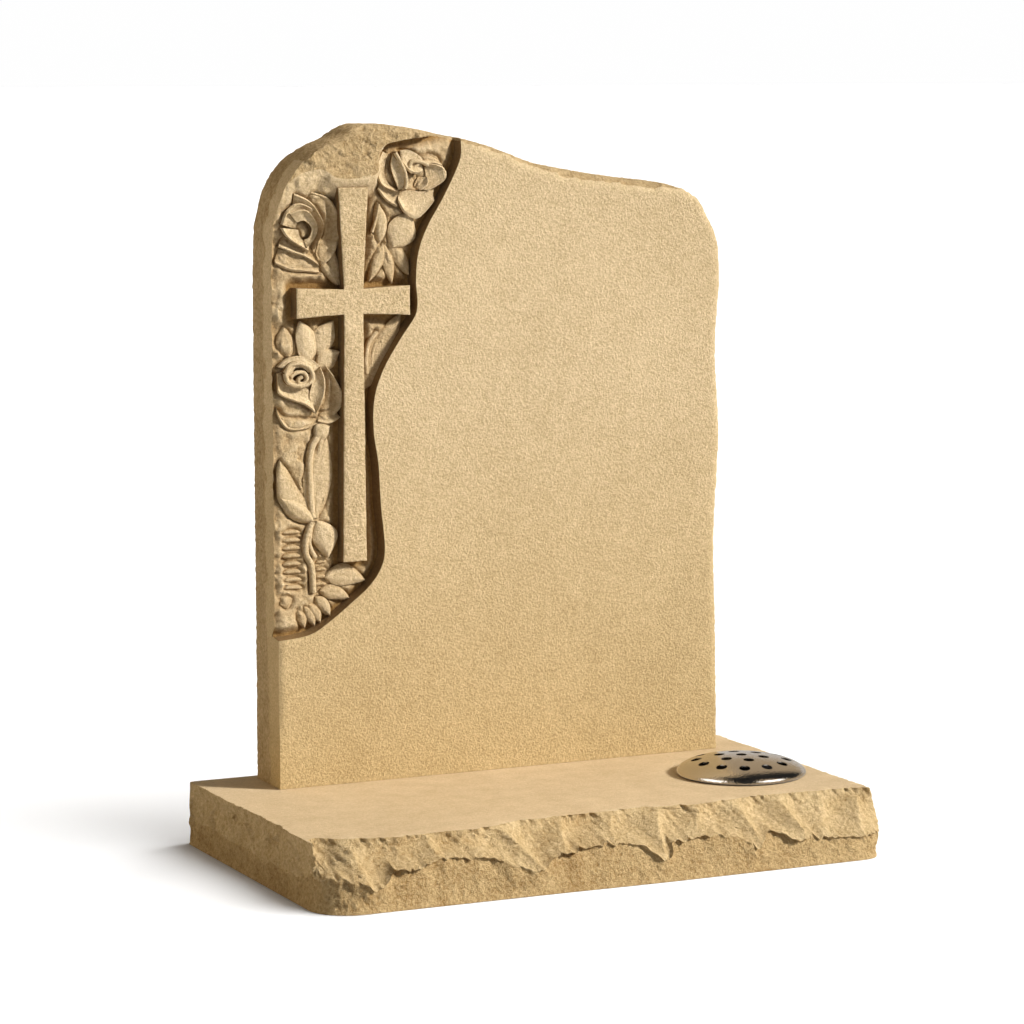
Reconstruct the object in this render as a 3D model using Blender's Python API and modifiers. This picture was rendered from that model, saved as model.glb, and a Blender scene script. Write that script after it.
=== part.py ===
# Lawn memorial headstone: a carved upright slab on a base slab, with a lidded flower container in the base.
# Metres. X runs to the viewer's right, Y away from the viewer and Z up, from under the base's middle.

import math
import random

import bmesh
import bpy
from mathutils import Vector

# Base slab
BASE_WIDTH = 0.760
BASE_DEPTH = 0.445
BASE_HEIGHT = 0.0765
BASE_FRONT_RADIUS = 0.055
BASE_BACK_RADIUS = 0.010
BASE_BOLD = 0.42
BASE_LEVELS = (0.0, 0.20, BASE_BOLD, 0.62, 0.82, 1.0)
BASE_STEP = 0.021

# How far each pitched side of the base falls back above and below its boldest line
FRONT_FALL = (0.050, 0.006)
LEFT_FALL = (0.009, 0.003)
RIGHT_FALL = (0.017, 0.018)

# Upright slab
HEADSTONE_WIDTH = 0.610
HEADSTONE_HEIGHT = 0.808
HEADSTONE_THICKNESS = 0.078
HEADSTONE_SHIFT = 0.013
BACK_MARGIN = 0.0175
EDGE_LEVELS = (0.0, 0.16, 0.45, 0.80, 1.0)
EDGE_SHARES = (1.0, 0.40, 0.0, 0.25, 0.85)
EDGE_STEP = 0.024

# How far the front arris stands in from the boldest line of the slab's edge
TOP_FALL = 0.014
RIGHT_EDGE_FALL = 0.005
LEFT_EDGE_FALL = 0.002

# Left over between pieces that rest on or stand in each other
SEAT_GAP = 0.0003

# Sunk panel and the carving in it, drawn on a grid of 808 units to the slab's height
GRID = HEADSTONE_HEIGHT / 808
PANEL_DEPTH = 0.020
CROSS_SETBACK = 0.001
CARVING_ROOT = 0.004

# Flower container, its lid and the hole bored for it, set in from the base's right end and front
CONTAINER_X = BASE_WIDTH / 2 - 0.116
CONTAINER_Y = 0.1935 - BASE_DEPTH / 2
CONTAINER_RADIUS = 0.068
CONTAINER_WALL = 0.0015
CONTAINER_DEPTH = 0.066
CONTAINER_CLEARANCE = 0.002
FLANGE_RADIUS = 0.0785
LID_RADIUS = 0.081
LID_RISE = 0.0220
LID_WALL = 0.0015
COLLAR_CLEARANCE = 0.001
COLLAR_DEPTH = 0.010
STEM_HOLE_RADIUS = 0.0068
STEM_HOLE_RINGS = ((1, 0.0, 0.0), (6, 0.028, 20.0), (12, 0.056, 5.0))

BASE_TOP = BASE_HEIGHT
SLAB_FOOT = BASE_TOP + SEAT_GAP
SLAB_LEFT = HEADSTONE_SHIFT - HEADSTONE_WIDTH / 2
SLAB_BACK = BASE_DEPTH / 2 - BACK_MARGIN
SLAB_FACE = SLAB_BACK - HEADSTONE_THICKNESS
FLANGE_TOP = BASE_TOP + SEAT_GAP + CONTAINER_WALL
LID_FOOT = FLANGE_TOP + SEAT_GAP

# The slab's outline from its left foot over the top to its right foot, in shares of width and height
SLAB_OUTLINE = (
    (0.0, 0.0), (0.0, 0.41), (0.0, 0.79), (0.010, 0.868), (0.032, 0.915), (0.078, 0.954),
    (0.140, 0.979), (0.205, 1.0), (0.330, 0.990), (0.470, 0.966), (0.570, 0.940), (0.740, 0.917),
    (0.870, 0.905), (0.938, 0.884), (0.968, 0.851), (0.993, 0.811), (0.999, 0.743), (0.991, 0.640),
    (1.0, 0.500), (0.991, 0.345), (0.996, 0.170), (0.998, 0.0),
)

# The panel's rim, up the right side from the left edge, then back over the top, in grid units
PANEL_RIM = (
    (-30, 180), (0, 183), (40, 188), (65, 201), (95, 223), (120, 243), (136, 265), (141, 290),
    (136, 343), (133, 393), (127, 433), (128, 473), (140, 508), (163, 545), (183, 573), (186, 593),
    (184, 613), (187, 648), (199, 680), (222, 718), (240, 753), (246, 773), (240, 796), (200, 790),
    (150, 782), (137, 768), (131, 745), (84, 741), (62, 752), (30, 744), (2, 720), (-30, 720),
)

# The cross: where its arms meet, half its lengths, and half its widths there and at its ends
CROSS_CENTRE = (102, 592)
CROSS_UP = 138
CROSS_DOWN = 318
CROSS_ARM = 75
CROSS_WAIST = 13
CROSS_FOOT = 16
CROSS_HEAD = 20
CROSS_ARM_WAIST = 15.5
CROSS_ARM_END = 18.5

# Rose petals, lowest first in each rose: the curve of their root, the curve of their lip, and both rises
PETALS = (
    (((10, 657), (30, 652), (48, 647), (62, 639)),
     ((3, 640), (24, 631), (44, 629), (62, 627)), 6, 9),
    (((62, 669), (60, 659), (58, 651), (62, 641)),
     ((86, 665), (82, 653), (74, 643), (64, 636)), 6, 11),
    (((42, 712), (58, 707), (68, 690), (70, 676), (64, 662)),
     ((52, 725), (74, 717), (86, 699), (90, 680), (86, 663)), 5, 11),
    (((16, 674), (28, 666), (42, 658), (54, 651)),
     ((8, 660), (25, 653), (43, 647), (61, 636)), 5, 12),
    (((29, 700), (45, 699), (57, 689), (61, 677), (53, 661)),
     ((28, 724), (48, 714), (62, 696), (66, 679), (52, 655)), 7, 14),
    (((31, 681), (33, 690), (42, 695), (52, 690)),
     ((11, 687), (18, 703), (34, 712), (53, 705)), 9, 13),
    (((34, 680), (36, 671), (42, 666), (49, 664)),
     ((10, 683), (17, 672), (30, 663), (46, 654)), 10, 15),
    (((32, 689), (41, 691), (50, 682), (47, 671), (41, 668)),
     ((21, 700), (41, 704), (55, 688), (55, 673), (43, 658)), 13, 17),
    (((144, 735), (154, 729), (169, 723)),
     ((138, 727), (148, 714), (163, 705)), 7, 12),
    (((168, 722), (179, 725), (196, 723), (214, 725)),
     ((164, 713), (172, 698), (190, 691), (212, 711)), 9, 15),
    (((153, 769), (148, 756), (148, 743), (154, 732), (167, 725)),
     ((144, 773), (137, 759), (137, 743), (144, 731), (165, 723)), 9, 13),
    (((201, 753), (203, 743), (201, 733), (193, 726)),
     ((202, 758), (224, 753), (228, 738), (206, 724)), 8, 14),
    (((196, 765), (208, 769), (220, 765)),
     ((200, 756), (212, 757), (226, 753)), 6, 11),
    (((188, 729), (190, 735), (194, 741)),
     ((195, 724), (204, 731), (205, 741)), 6, 12),
    (((158, 769), (155, 756), (159, 741), (166, 726)),
     ((162, 772), (170, 756), (175, 741), (174, 727)), 12, 17),
    (((168, 773), (178, 774), (190, 769), (198, 763)),
     ((170, 757), (176, 749), (185, 745), (196, 747)), 11, 17),
    (((9, 463), (12, 457), (28, 453), (47, 452), (62, 450)),
     ((3, 466), (9, 450), (19, 439), (38, 438), (58, 445)), 5, 10),
    (((62, 457), (72, 460), (84, 459)),
     ((58, 447), (72, 444), (88, 451)), 6, 11),
    (((65, 512), (69, 499), (70, 484), (67, 470), (61, 458)),
     ((67, 517), (81, 498), (90, 479), (88, 464), (79, 454)), 3, 12),
    (((17, 513), (26, 520), (41, 519), (53, 509)),
     ((5, 516), (19, 526), (43, 527), (62, 515)), 12, 10),
    (((18, 511), (17, 498), (27, 491), (42, 489), (50, 483)),
     ((-1, 506), (5, 484), (22, 475), (40, 468), (53, 458)), 9, 15),
    (((52, 507), (50, 493), (47, 480), (49, 470), (54, 461)),
     ((60, 514), (65, 500), (65, 484), (60, 470), (54, 458)), 10, 16),
    (((22, 504), (26, 514), (36, 514), (44, 508)),
     ((12, 503), (16, 518), (34, 521), (50, 509)), 15, 18),
    (((22, 508), (25, 499), (37, 497), (44, 506)),
     ((12, 507), (17, 494), (37, 490), (50, 505)), 14, 18),
)

# Leaves, sepals and buds: root, tip, width, sideways bend, rise
LEAVES = (
    ((64, 640), (86, 612), 12, 2, 9), ((79, 656), (89, 612), 13, -3, 8),
    ((141, 662), (138, 711), 16, -3, 11), ((158, 656), (182, 699), 36, -2, 12),
    ((146, 662), (127, 615), 13, 2, 9), ((148, 660), (158, 612), 15, 1, 8),
    ((154, 662), (181, 622), 17, 2, 8), ((47, 519), (36, 570), 28, -3, 12),
    ((22, 526), (15, 564), 20, 2, 8), ((60, 527), (80, 569), 27, 3, 10),
    ((58, 512), (88, 531), 24, 2, 10), ((139, 546), (168, 565), 9, 1, 8),
    ((54, 430), (73, 441), 20, 0, 13), ((50, 327), (8, 402), 30, 11, 11),
    ((51, 326), (8, 356), 20, 2, 14), ((54, 329), (70, 428), 36, 4, 10),
    ((55, 326), (70, 280), 30, 5, 13), ((66, 256), (120, 249), 25, 5, 10),
    ((60, 240), (99, 228), 17, 2, 9), ((54, 232), (73, 208), 14, 2, 9),
    ((46, 224), (61, 200), 12, 2, 8), ((39, 221), (53, 196), 11, 2, 8),
    ((31, 218), (40, 194), 11, 1, 7), ((8, 226), (24, 232), 16, 0, 7),
    ((121, 484), (170, 574), 32, 3, 7),
)

# Stems: their route, width and rise
STEMS = (
    (((124, 503), (123, 520), (127, 540), (138, 554)), 6, 8), (((131, 511), (132, 528), (137, 541)), 5, 7),
    (((61, 432), (50, 415), (47, 385), (50, 330)), 9, 11), (((64, 430), (59, 400), (55, 330)), 9, 9),
    (((50, 325), (42, 304), (42, 285), (49, 270), (51, 238)), 8, 11),
    (((49, 321), (46, 298), (54, 281)), 6, 10),
)

# Rows of short ribs: first middle, middle's step, rib length and width, count, rise
RIB_ROWS = (((23, 314), (0.3, -9.7), 24, 6.5, 8, 8), ((63, 275), (-0.6, -9.0), 16, 5.5, 4, 7))

# Scooped hollows that the pitching tool leaves, along an edge and across it
SCOOP_LENGTH = (0.030, 0.085)
SCOOP_HEIGHT = (0.020, 0.046)
SCOOP_SPACING = (0.45, 0.90)
SCOOP_SHARE = (0.45, 1.0)
BASE_SCOOP = 0.010
EDGE_SCOOP = 0.007

# How much of a scoop's depth the base's ends and the slab's left and right edges take
BASE_END_SHARE = 0.50
LEFT_EDGE_SHARE = 0.30
RIGHT_EDGE_SHARE = 0.72

# Heights of a carved form's sides, as shares of its rise
LEAF_SIDE_SHARES = (0.62, 0.70)
STEM_SIDE_SHARE = 0.35
RIB_SIDE_SHARE = 0.40

BASE_COLOUR = (0.58, 0.42, 0.22, 1.0)
FACE_COLOUR = (0.66, 0.49, 0.27, 1.0)
ALUMINIUM_COLOUR = (0.20, 0.20, 0.21, 1.0)
CHROME_COLOUR = (0.62, 0.60, 0.57, 1.0)


def material(name, colour, roughness, metallic):
    made = bpy.data.materials.new(name)
    made.use_nodes = True
    shader = made.node_tree.nodes["Principled BSDF"]
    shader.inputs["Base Color"].default_value = colour
    shader.inputs["Roughness"].default_value = roughness
    shader.inputs["Metallic"].default_value = metallic
    return made


def new_object(name, mesh, collection, stuff=None):
    made = bpy.data.objects.new(name, mesh)
    collection.objects.link(made)
    if stuff:
        mesh.materials.append(stuff)
    return made


def as_cutter(made):
    made.hide_render = True
    made.display_type = 'WIRE'
    return made


def mesh_from_bmesh(name, bm):
    bmesh.ops.triangulate(bm, faces=[face for face in bm.faces if len(face.verts) == 4])
    bmesh.ops.recalc_face_normals(bm, faces=bm.faces[:])
    mesh = bpy.data.meshes.new(name)
    bm.to_mesh(mesh)
    bm.free()
    return mesh


# Closed rings of equal length joined into one body, with a flat cap on the first and on the last.
def loft(name, rings):
    bm = bmesh.new()
    rows = [[bm.verts.new(point) for point in ring] for ring in rings]
    count = len(rings[0])
    for low, high in zip(rows, rows[1:]):
        for i in range(count):
            j = (i + 1) % count
            bm.faces.new((low[i], low[j], high[j], high[i]))
    bm.faces.new(rows[0])
    bm.faces.new(rows[-1])
    return mesh_from_bmesh(name, bm)


# A point between b and c on the smooth path through a, b, c and d.
def on_path(a, b, c, d, t):
    return tuple(
        0.5 * (2 * q + (r - p) * t + (2 * p - 5 * q + 4 * r - s) * t * t + (3 * q - p - 3 * r + s) * t ** 3)
        for p, q, r, s in zip(a, b, c, d)
    )


def smooth_path(points, steps):
    first, last = points[0], points[-1]
    padded = [first, *points, last]
    path = [on_path(*padded[i:i + 4], k / steps) for i in range(len(points) - 1) for k in range(steps)]
    return path + [last]


# The same path with its points spaced evenly.
def evenly(path, step):
    lengths = [0.0]
    for a, b in zip(path, path[1:]):
        lengths.append(lengths[-1] + math.dist(a, b))
    count = max(2, round(lengths[-1] / step))
    spaced = []
    k = 0
    for i in range(count + 1):
        goal = lengths[-1] * i / count
        while k < len(path) - 2 and lengths[k + 1] < goal:
            k += 1
        share = (goal - lengths[k]) / (lengths[k + 1] - lengths[k])
        share = min(1.0, max(0.0, share))
        spaced.append(tuple(p + (q - p) * share for p, q in zip(path[k], path[k + 1])))
    return spaced


# Outward normals of a path whose outer side is on its left.
def outward(path, closed):
    normals = []
    count = len(path)
    for i in range(count):
        before = path[i - 1] if closed or i else path[i]
        after = path[(i + 1) % count] if closed or i < count - 1 else path[i]
        run = Vector((after[0] - before[0], after[1] - before[1])).normalized()
        normals.append(Vector((-run.y, run.x)))
    return normals


# Hollows at seeded random places along a band: place, height share, half length, half height, depth.
def scoops(length, height, depth, seed):
    draw = random.Random(seed)
    places = []
    along = 0.0
    while along < length:
        half = draw.uniform(*SCOOP_LENGTH)
        places.append((along, draw.uniform(0.0, 1.0) * height, half, draw.uniform(*SCOOP_HEIGHT),
                       depth * draw.uniform(*SCOOP_SHARE)))
        along += half * draw.uniform(*SCOOP_SPACING)
    return places


def hollow(along, up, places):
    deepest = 0.0
    for place, height, half_length, half_height, depth in places:
        away = ((along - place) / half_length) ** 2 + ((up - height) / half_height) ** 2
        if away < 1.0:
            deepest = max(deepest, depth * (1.0 - away))
    return deepest


# A side's distance behind its boldest line: a hollow slope above the line and a shallow undercut below it.
def fall(height, bold, total, pair):
    if height > bold:
        share = (height - bold) / (total - bold)
        return pair[0] * share * (3.0 - share) / 2.0
    return pair[1] * ((bold - height) / bold) ** 2


# The base's plan, anticlockwise from the back left corner: straight sides and round corners.
def base_plan():
    half_width, half_depth = BASE_WIDTH / 2, BASE_DEPTH / 2
    corners = (
        (-half_width, half_depth, BASE_BACK_RADIUS, 90), (-half_width, -half_depth, BASE_FRONT_RADIUS, 180),
        (half_width, -half_depth, BASE_FRONT_RADIUS, 270), (half_width, half_depth, BASE_BACK_RADIUS, 0),
    )
    plan = []
    for x, y, radius, start in corners:
        centre = (x - math.copysign(radius, x), y - math.copysign(radius, y))
        steps = 4 if radius > BASE_STEP else 2
        for k in range(steps + 1):
            angle = math.radians(start + 90 * k / steps)
            plan.append((centre[0] + radius * math.cos(angle), centre[1] + radius * math.sin(angle)))
    dense = []
    for a, b in zip(plan, plan[1:]):
        pieces = max(1, round(math.dist(a, b) / BASE_STEP))
        step = ((b[0] - a[0]) / pieces, (b[1] - a[1]) / pieces)
        dense += [(a[0] + step[0] * k, a[1] + step[1] * k) for k in range(pieces)]
    return dense + [plan[-1]]


def base_mesh():
    plan = base_plan()
    normals = [-normal for normal in outward(plan, closed=True)]
    places = scoops(2 * (BASE_WIDTH + BASE_DEPTH), BASE_HEIGHT, BASE_SCOOP, seed=22)
    corner_line = BASE_WIDTH / 2 - BASE_BACK_RADIUS - BASE_STEP / 2
    bold = BASE_BOLD * BASE_HEIGHT
    rings = []
    for level in BASE_LEVELS:
        height = level * BASE_HEIGHT
        ring = []
        along = 0.0
        for i, (point, normal) in enumerate(zip(plan, normals)):
            along += math.dist(point, plan[i - 1]) if i else 0.0
            front, left, right = max(0.0, -normal.y), max(0.0, -normal.x), max(0.0, normal.x)
            if normal.y > 0.0:
                left, right = float(point[0] < -corner_line), float(point[0] > corner_line)
            from_front, from_left, from_right = (
                share ** 2 * fall(height, bold, BASE_HEIGHT, pair)
                for share, pair in ((front, FRONT_FALL), (left, LEFT_FALL), (right, RIGHT_FALL)))
            rough = min(1.0, front + BASE_END_SHARE * (left + right)) if normal.y < 0.5 else 0.0
            chip = rough * hollow(along, height, places) * min(1.0, height / bold)
            x = point[0] - normal.x * chip + from_left - from_right
            ring.append((x, point[1] - normal.y * chip + from_front, height))
        rings.append(ring)
    return loft("base", rings)


def slab_mesh():
    outline = [(SLAB_LEFT + x * HEADSTONE_WIDTH, z * HEADSTONE_HEIGHT) for x, z in SLAB_OUTLINE]
    outline = evenly(smooth_path(outline, 6), EDGE_STEP)
    normals = outward(outline, closed=False)
    places = scoops(EDGE_STEP * len(outline), HEADSTONE_THICKNESS, EDGE_SCOOP, seed=9)
    rings = []
    for level, share in zip(EDGE_LEVELS, EDGE_SHARES):
        depth = level * HEADSTONE_THICKNESS
        ring = []
        for i, (point, normal) in enumerate(zip(outline, normals)):
            up, left, right = max(0.0, normal.y), max(0.0, -normal.x), max(0.0, normal.x)
            inset = share * (TOP_FALL * up ** 2 + LEFT_EDGE_FALL * left ** 2 + RIGHT_EDGE_FALL * right ** 2)
            rough = max(up, RIGHT_EDGE_SHARE * right, LEFT_EDGE_SHARE)
            inset += rough * hollow(i * EDGE_STEP, depth, places)
            height = max(0.0, point[1] - normal.y * inset)
            if i in (0, len(outline) - 1):
                height = 0.0
            ring.append((point[0] - normal.x * inset, SLAB_FACE + depth, SLAB_FOOT + height))
        rings.append(ring)
    return loft("headstone", rings)


# A flat outline on the panel's grid, standing in the slab from one depth behind the face to another.
def plate(name, outline, near, far, collection):
    curve = bpy.data.curves.new(name, 'CURVE')
    curve.dimensions = '2D'
    curve.fill_mode = 'BOTH'
    curve.extrude = (far - near) / 2
    spline = curve.splines.new('POLY')
    spline.points.add(len(outline) - 1)
    spline.use_cyclic_u = True
    for point, (x, z) in zip(spline.points, outline):
        point.co = (x * GRID, z * GRID, 0.0, 1.0)
    drawn = new_object(name + "_curve", curve, collection)
    drawn.location = (SLAB_LEFT, SLAB_FACE + (near + far) / 2, SLAB_FOOT)
    drawn.rotation_euler = (math.radians(90), 0.0, 0.0)
    bpy.context.view_layer.update()
    mesh = bpy.data.meshes.new_from_object(drawn.evaluated_get(bpy.context.evaluated_depsgraph_get()))
    bm = bmesh.new()
    bm.from_mesh(mesh)
    bmesh.ops.remove_doubles(bm, verts=bm.verts[:], dist=0.00001)
    bmesh.ops.recalc_face_normals(bm, faces=bm.faces[:])
    bm.to_mesh(mesh)
    bm.free()
    solid = new_object(name, mesh, collection)
    solid.matrix_world = drawn.matrix_world
    bpy.data.objects.remove(drawn)
    return as_cutter(solid)


# A carved form from rows of (x, z, rise) on the panel's grid, rooted in the stone behind the panel's floor.
def carve(name, rows, collection):
    bm = bmesh.new()
    floor = SLAB_FACE + PANEL_DEPTH

    def corner(x, z, rise):
        return bm.verts.new((SLAB_LEFT + x * GRID, floor - rise, SLAB_FOOT + z * GRID))

    top = [[corner(x, z, rise * GRID) for x, z, rise in row] for row in rows]
    root = [[corner(x, z, -CARVING_ROOT) for x, z, rise in row] for row in rows]
    last_row, last_column = len(rows) - 1, len(rows[0]) - 1
    for layer in (top, root):
        for i in range(last_row):
            for j in range(last_column):
                bm.faces.new((layer[i][j], layer[i + 1][j], layer[i + 1][j + 1], layer[i][j + 1]))
    for i in range(last_row):
        for j in (0, last_column):
            bm.faces.new((top[i][j], top[i + 1][j], root[i + 1][j], root[i][j]))
    for j in range(last_column):
        for i in (0, last_row):
            bm.faces.new((top[i][j], top[i][j + 1], root[i][j + 1], root[i][j]))
    return as_cutter(new_object(name, mesh_from_bmesh(name, bm), collection))


def leaf_rows(root, tip, width, bend, rise, steps=5):
    start, end = Vector(root), Vector(tip)
    run = end - start
    side = Vector((-run.y, run.x)).normalized()
    rows = []
    for k in range(steps + 1):
        t = k / steps
        middle = start + run * t + side * bend * math.sin(math.pi * t)
        half = 0.6 + (width / 2) * math.sin(math.pi * t ** 0.85) ** 0.8
        rows.append([
            (*(middle + side * half), rise * LEAF_SIDE_SHARES[0]), (*middle, rise),
            (*(middle - side * half), rise * LEAF_SIDE_SHARES[1]),
        ])
    return rows


def petal_rows(root, lip, low, high):
    return [[(*inner, low), (*outer, high)] for inner, outer in zip(root, lip)]


def stem_rows(route, width, rise):
    path = smooth_path(route, 2)
    rows = []
    for point, normal in zip(path, outward(path, closed=False)):
        side = normal * width / 2
        rows.append([
            (point[0] + side.x, point[1] + side.y, rise * STEM_SIDE_SHARE), (*point, rise),
            (point[0] - side.x, point[1] - side.y, rise * STEM_SIDE_SHARE),
        ])
    return rows


def rib_rows(middle, length, width, rise):
    return [
        [
            (middle[0] + x * length / 2, middle[1] + z * width / 2, rise * (RIB_SIDE_SHARE if z else 1.0))
            for z in (-1, 0, 1)
        ]
        for x in (-1, 1)
    ]


def cross_outline():
    x, z = CROSS_CENTRE
    waist, arm = CROSS_WAIST, CROSS_ARM_WAIST
    return [
        (x - CROSS_FOOT, z - CROSS_DOWN), (x + CROSS_FOOT, z - CROSS_DOWN), (x + waist, z - arm),
        (x + CROSS_ARM, z - CROSS_ARM_END), (x + CROSS_ARM, z + CROSS_ARM_END), (x + waist, z + arm),
        (x + CROSS_HEAD, z + CROSS_UP), (x - CROSS_HEAD, z + CROSS_UP), (x - waist, z + arm),
        (x - CROSS_ARM, z + CROSS_ARM_END), (x - CROSS_ARM, z - CROSS_ARM_END), (x - waist, z - arm),
    ]


def boolean(target, operation, tool=None, group=None):
    modifier = target.modifiers.new(operation.title(), 'BOOLEAN')
    modifier.operation = operation
    modifier.solver = 'EXACT'
    if group:
        modifier.operand_type = 'COLLECTION'
        modifier.collection = group
    else:
        modifier.object = tool


# A turned body from its half section, outer side first and running down.
def turned(name, section, segments, collection, stuff=None):
    mesh = bpy.data.meshes.new(name)
    edges = [(i, i + 1) for i in range(len(section) - 1)]
    mesh.from_pydata([(radius, 0.0, height) for radius, height in section], edges, [])
    made = new_object(name, mesh, collection, stuff)
    made.location = (CONTAINER_X, CONTAINER_Y, 0.0)
    screw = made.modifiers.new("Turn", 'SCREW')
    screw.steps = segments
    screw.render_steps = segments
    screw.use_merge_vertices = True
    screw.merge_threshold = 0.00001
    screw.use_smooth_shade = True
    return made


def container_section():
    inner = CONTAINER_RADIUS - CONTAINER_WALL
    seat = BASE_TOP + SEAT_GAP
    foot = seat - CONTAINER_DEPTH
    return [
        (0.0, foot + CONTAINER_WALL), (inner, foot + CONTAINER_WALL), (inner, FLANGE_TOP),
        (FLANGE_RADIUS, FLANGE_TOP), (FLANGE_RADIUS, seat), (CONTAINER_RADIUS, seat),
        (CONTAINER_RADIUS, foot), (0.0, foot),
    ]


def dome(radius, rise, steps, last):
    angles = [math.radians(90 - (90 - last) * k / steps) for k in range(steps + 1)]
    return [(radius * math.cos(angle), LID_FOOT + rise * math.sin(angle)) for angle in angles]


def lid_section():
    collar = CONTAINER_RADIUS - CONTAINER_WALL - COLLAR_CLEARANCE
    seat = LID_FOOT + LID_WALL
    inner_radius, inner_rise = LID_RADIUS - LID_WALL, LID_RISE - LID_WALL
    turn_in = math.degrees(math.asin(LID_WALL / inner_rise))
    outer = dome(LID_RADIUS, LID_RISE, 5, 0)
    inner = dome(inner_radius, inner_rise, 4, turn_in)
    ring = [
        (collar, LID_FOOT), (collar, LID_FOOT - COLLAR_DEPTH), (collar - LID_WALL, LID_FOOT - COLLAR_DEPTH),
        (collar - LID_WALL, seat),
    ]
    return [(0.0, outer[0][1])] + outer[1:] + ring + inner[:0:-1] + [(0.0, inner[0][1])]


def stem_hole_places():
    places = []
    for count, radius, turn in STEM_HOLE_RINGS:
        for k in range(count):
            angle = math.radians(turn + 360 * k / count)
            places.append((radius * math.cos(angle), radius * math.sin(angle)))
    return places


def build():
    for made in list(bpy.data.objects):
        bpy.data.objects.remove(made)
    scene = bpy.context.scene.collection
    parts = bpy.data.collections.new("lawn_memorial_headstone")
    cutters = bpy.data.collections.new("cutters")
    carving = bpy.data.collections.new("carving")
    drills = bpy.data.collections.new("drills")
    scene.children.link(parts)
    scene.children.link(cutters)
    cutters.children.link(carving)
    cutters.children.link(drills)

    face_stone = material("pecked_sandstone", FACE_COLOUR, 0.9, 0.0)
    base_stone = material("rubbed_sandstone", BASE_COLOUR, 0.88, 0.0)
    aluminium = material("dull_aluminium", ALUMINIUM_COLOUR, 0.5, 1.0)
    chrome = material("polished_chrome", CHROME_COLOUR, 0.12, 1.0)

    headstone = new_object("headstone", slab_mesh(), parts, face_stone)
    panel = plate("panel_cut", PANEL_RIM, -PANEL_DEPTH, PANEL_DEPTH, cutters)
    boolean(headstone, 'DIFFERENCE', tool=panel)
    plate("cross", cross_outline(), CROSS_SETBACK, PANEL_DEPTH + CARVING_ROOT, carving)
    for number, petal in enumerate(PETALS):
        carve(f"petal_{number}", petal_rows(*petal), carving)
    for number, leaf in enumerate(LEAVES):
        carve(f"leaf_{number}", leaf_rows(*leaf), carving)
    for number, stem in enumerate(STEMS):
        carve(f"stem_{number}", stem_rows(*stem), carving)
    for number, (first, step, length, width, count, rise) in enumerate(RIB_ROWS):
        for k in range(count):
            middle = (first[0] + step[0] * k, first[1] + step[1] * k)
            carve(f"rib_{number}_{k}", rib_rows(middle, length, width, rise), carving)
    boolean(headstone, 'UNION', group=carving)

    base = new_object("base", base_mesh(), parts, base_stone)
    bpy.ops.mesh.primitive_cylinder_add(
        vertices=32, radius=CONTAINER_RADIUS + CONTAINER_CLEARANCE, depth=3 * BASE_HEIGHT,
        location=(CONTAINER_X, CONTAINER_Y, BASE_HEIGHT / 2))
    bore = bpy.context.object
    bore.name = "container_bore"
    for home in list(bore.users_collection):
        home.objects.unlink(bore)
    cutters.objects.link(as_cutter(bore))
    boolean(base, 'DIFFERENCE', tool=bore)

    turned("flower_container", container_section(), 32, parts, aluminium)
    lid = turned("flower_container_lid", lid_section(), 32, parts, chrome)
    for number, (x, y) in enumerate(stem_hole_places()):
        bpy.ops.mesh.primitive_cylinder_add(
            vertices=10, radius=STEM_HOLE_RADIUS, depth=LID_RISE,
            location=(CONTAINER_X + x, CONTAINER_Y + y, LID_FOOT + LID_RISE))
        drill = bpy.context.object
        drill.name = f"stem_hole_{number}"
        for home in list(drill.users_collection):
            home.objects.unlink(drill)
        drills.objects.link(as_cutter(drill))
    boolean(lid, 'DIFFERENCE', group=drills)


build()
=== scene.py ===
import math
import random

import bmesh
import bpy
import numpy as np
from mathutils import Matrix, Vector, geometry, noise


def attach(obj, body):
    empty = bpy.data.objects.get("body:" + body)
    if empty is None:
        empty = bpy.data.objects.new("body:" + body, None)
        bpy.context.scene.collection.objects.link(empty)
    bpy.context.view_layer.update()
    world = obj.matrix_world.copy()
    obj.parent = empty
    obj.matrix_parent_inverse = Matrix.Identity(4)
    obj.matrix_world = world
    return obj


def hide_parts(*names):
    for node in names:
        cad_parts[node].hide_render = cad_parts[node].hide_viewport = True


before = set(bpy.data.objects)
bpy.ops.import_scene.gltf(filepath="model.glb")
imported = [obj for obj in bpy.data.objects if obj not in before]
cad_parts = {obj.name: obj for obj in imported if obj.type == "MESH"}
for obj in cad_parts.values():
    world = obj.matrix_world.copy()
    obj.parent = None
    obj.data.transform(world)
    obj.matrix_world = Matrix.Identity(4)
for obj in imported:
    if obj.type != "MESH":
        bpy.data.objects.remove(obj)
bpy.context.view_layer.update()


# Base slab: one block of buff sandstone, sawn and rubbed smooth on top. Its front and ends are pitched with
# hammer and pitching tool, which leaves scooped flakes, and a round hole is bored through it for the
# container.
BASE_WIDTH = 0.760
BASE_DEPTH = 0.445
BASE_HEIGHT = 0.0765
BASE_FRONT_RADIUS = 0.055
BASE_BACK_RADIUS = 0.010
CONTAINER_X = 0.264
CONTAINER_Y = -0.029
BORE_RADIUS = 0.070

# The mesh of the pitched sides: the step along them, and the rows below and above the ledge
BASE_STEP = 0.0027
LOW_ROWS = 14
HIGH_ROWS = 24

# The boldest line round the sides, as a share of the height, how far it wanders, and how far the ends fall
# away above it and below it
BASE_BOLD = 0.42
BASE_BOLD_SWING = 0.13
RIGHT_BOLD_RISE = 0.10
LEFT_FALL = (0.003, 0.002)
RIGHT_FALL = (0.011, 0.018)
RIGHT_BOW = 0.002

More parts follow.
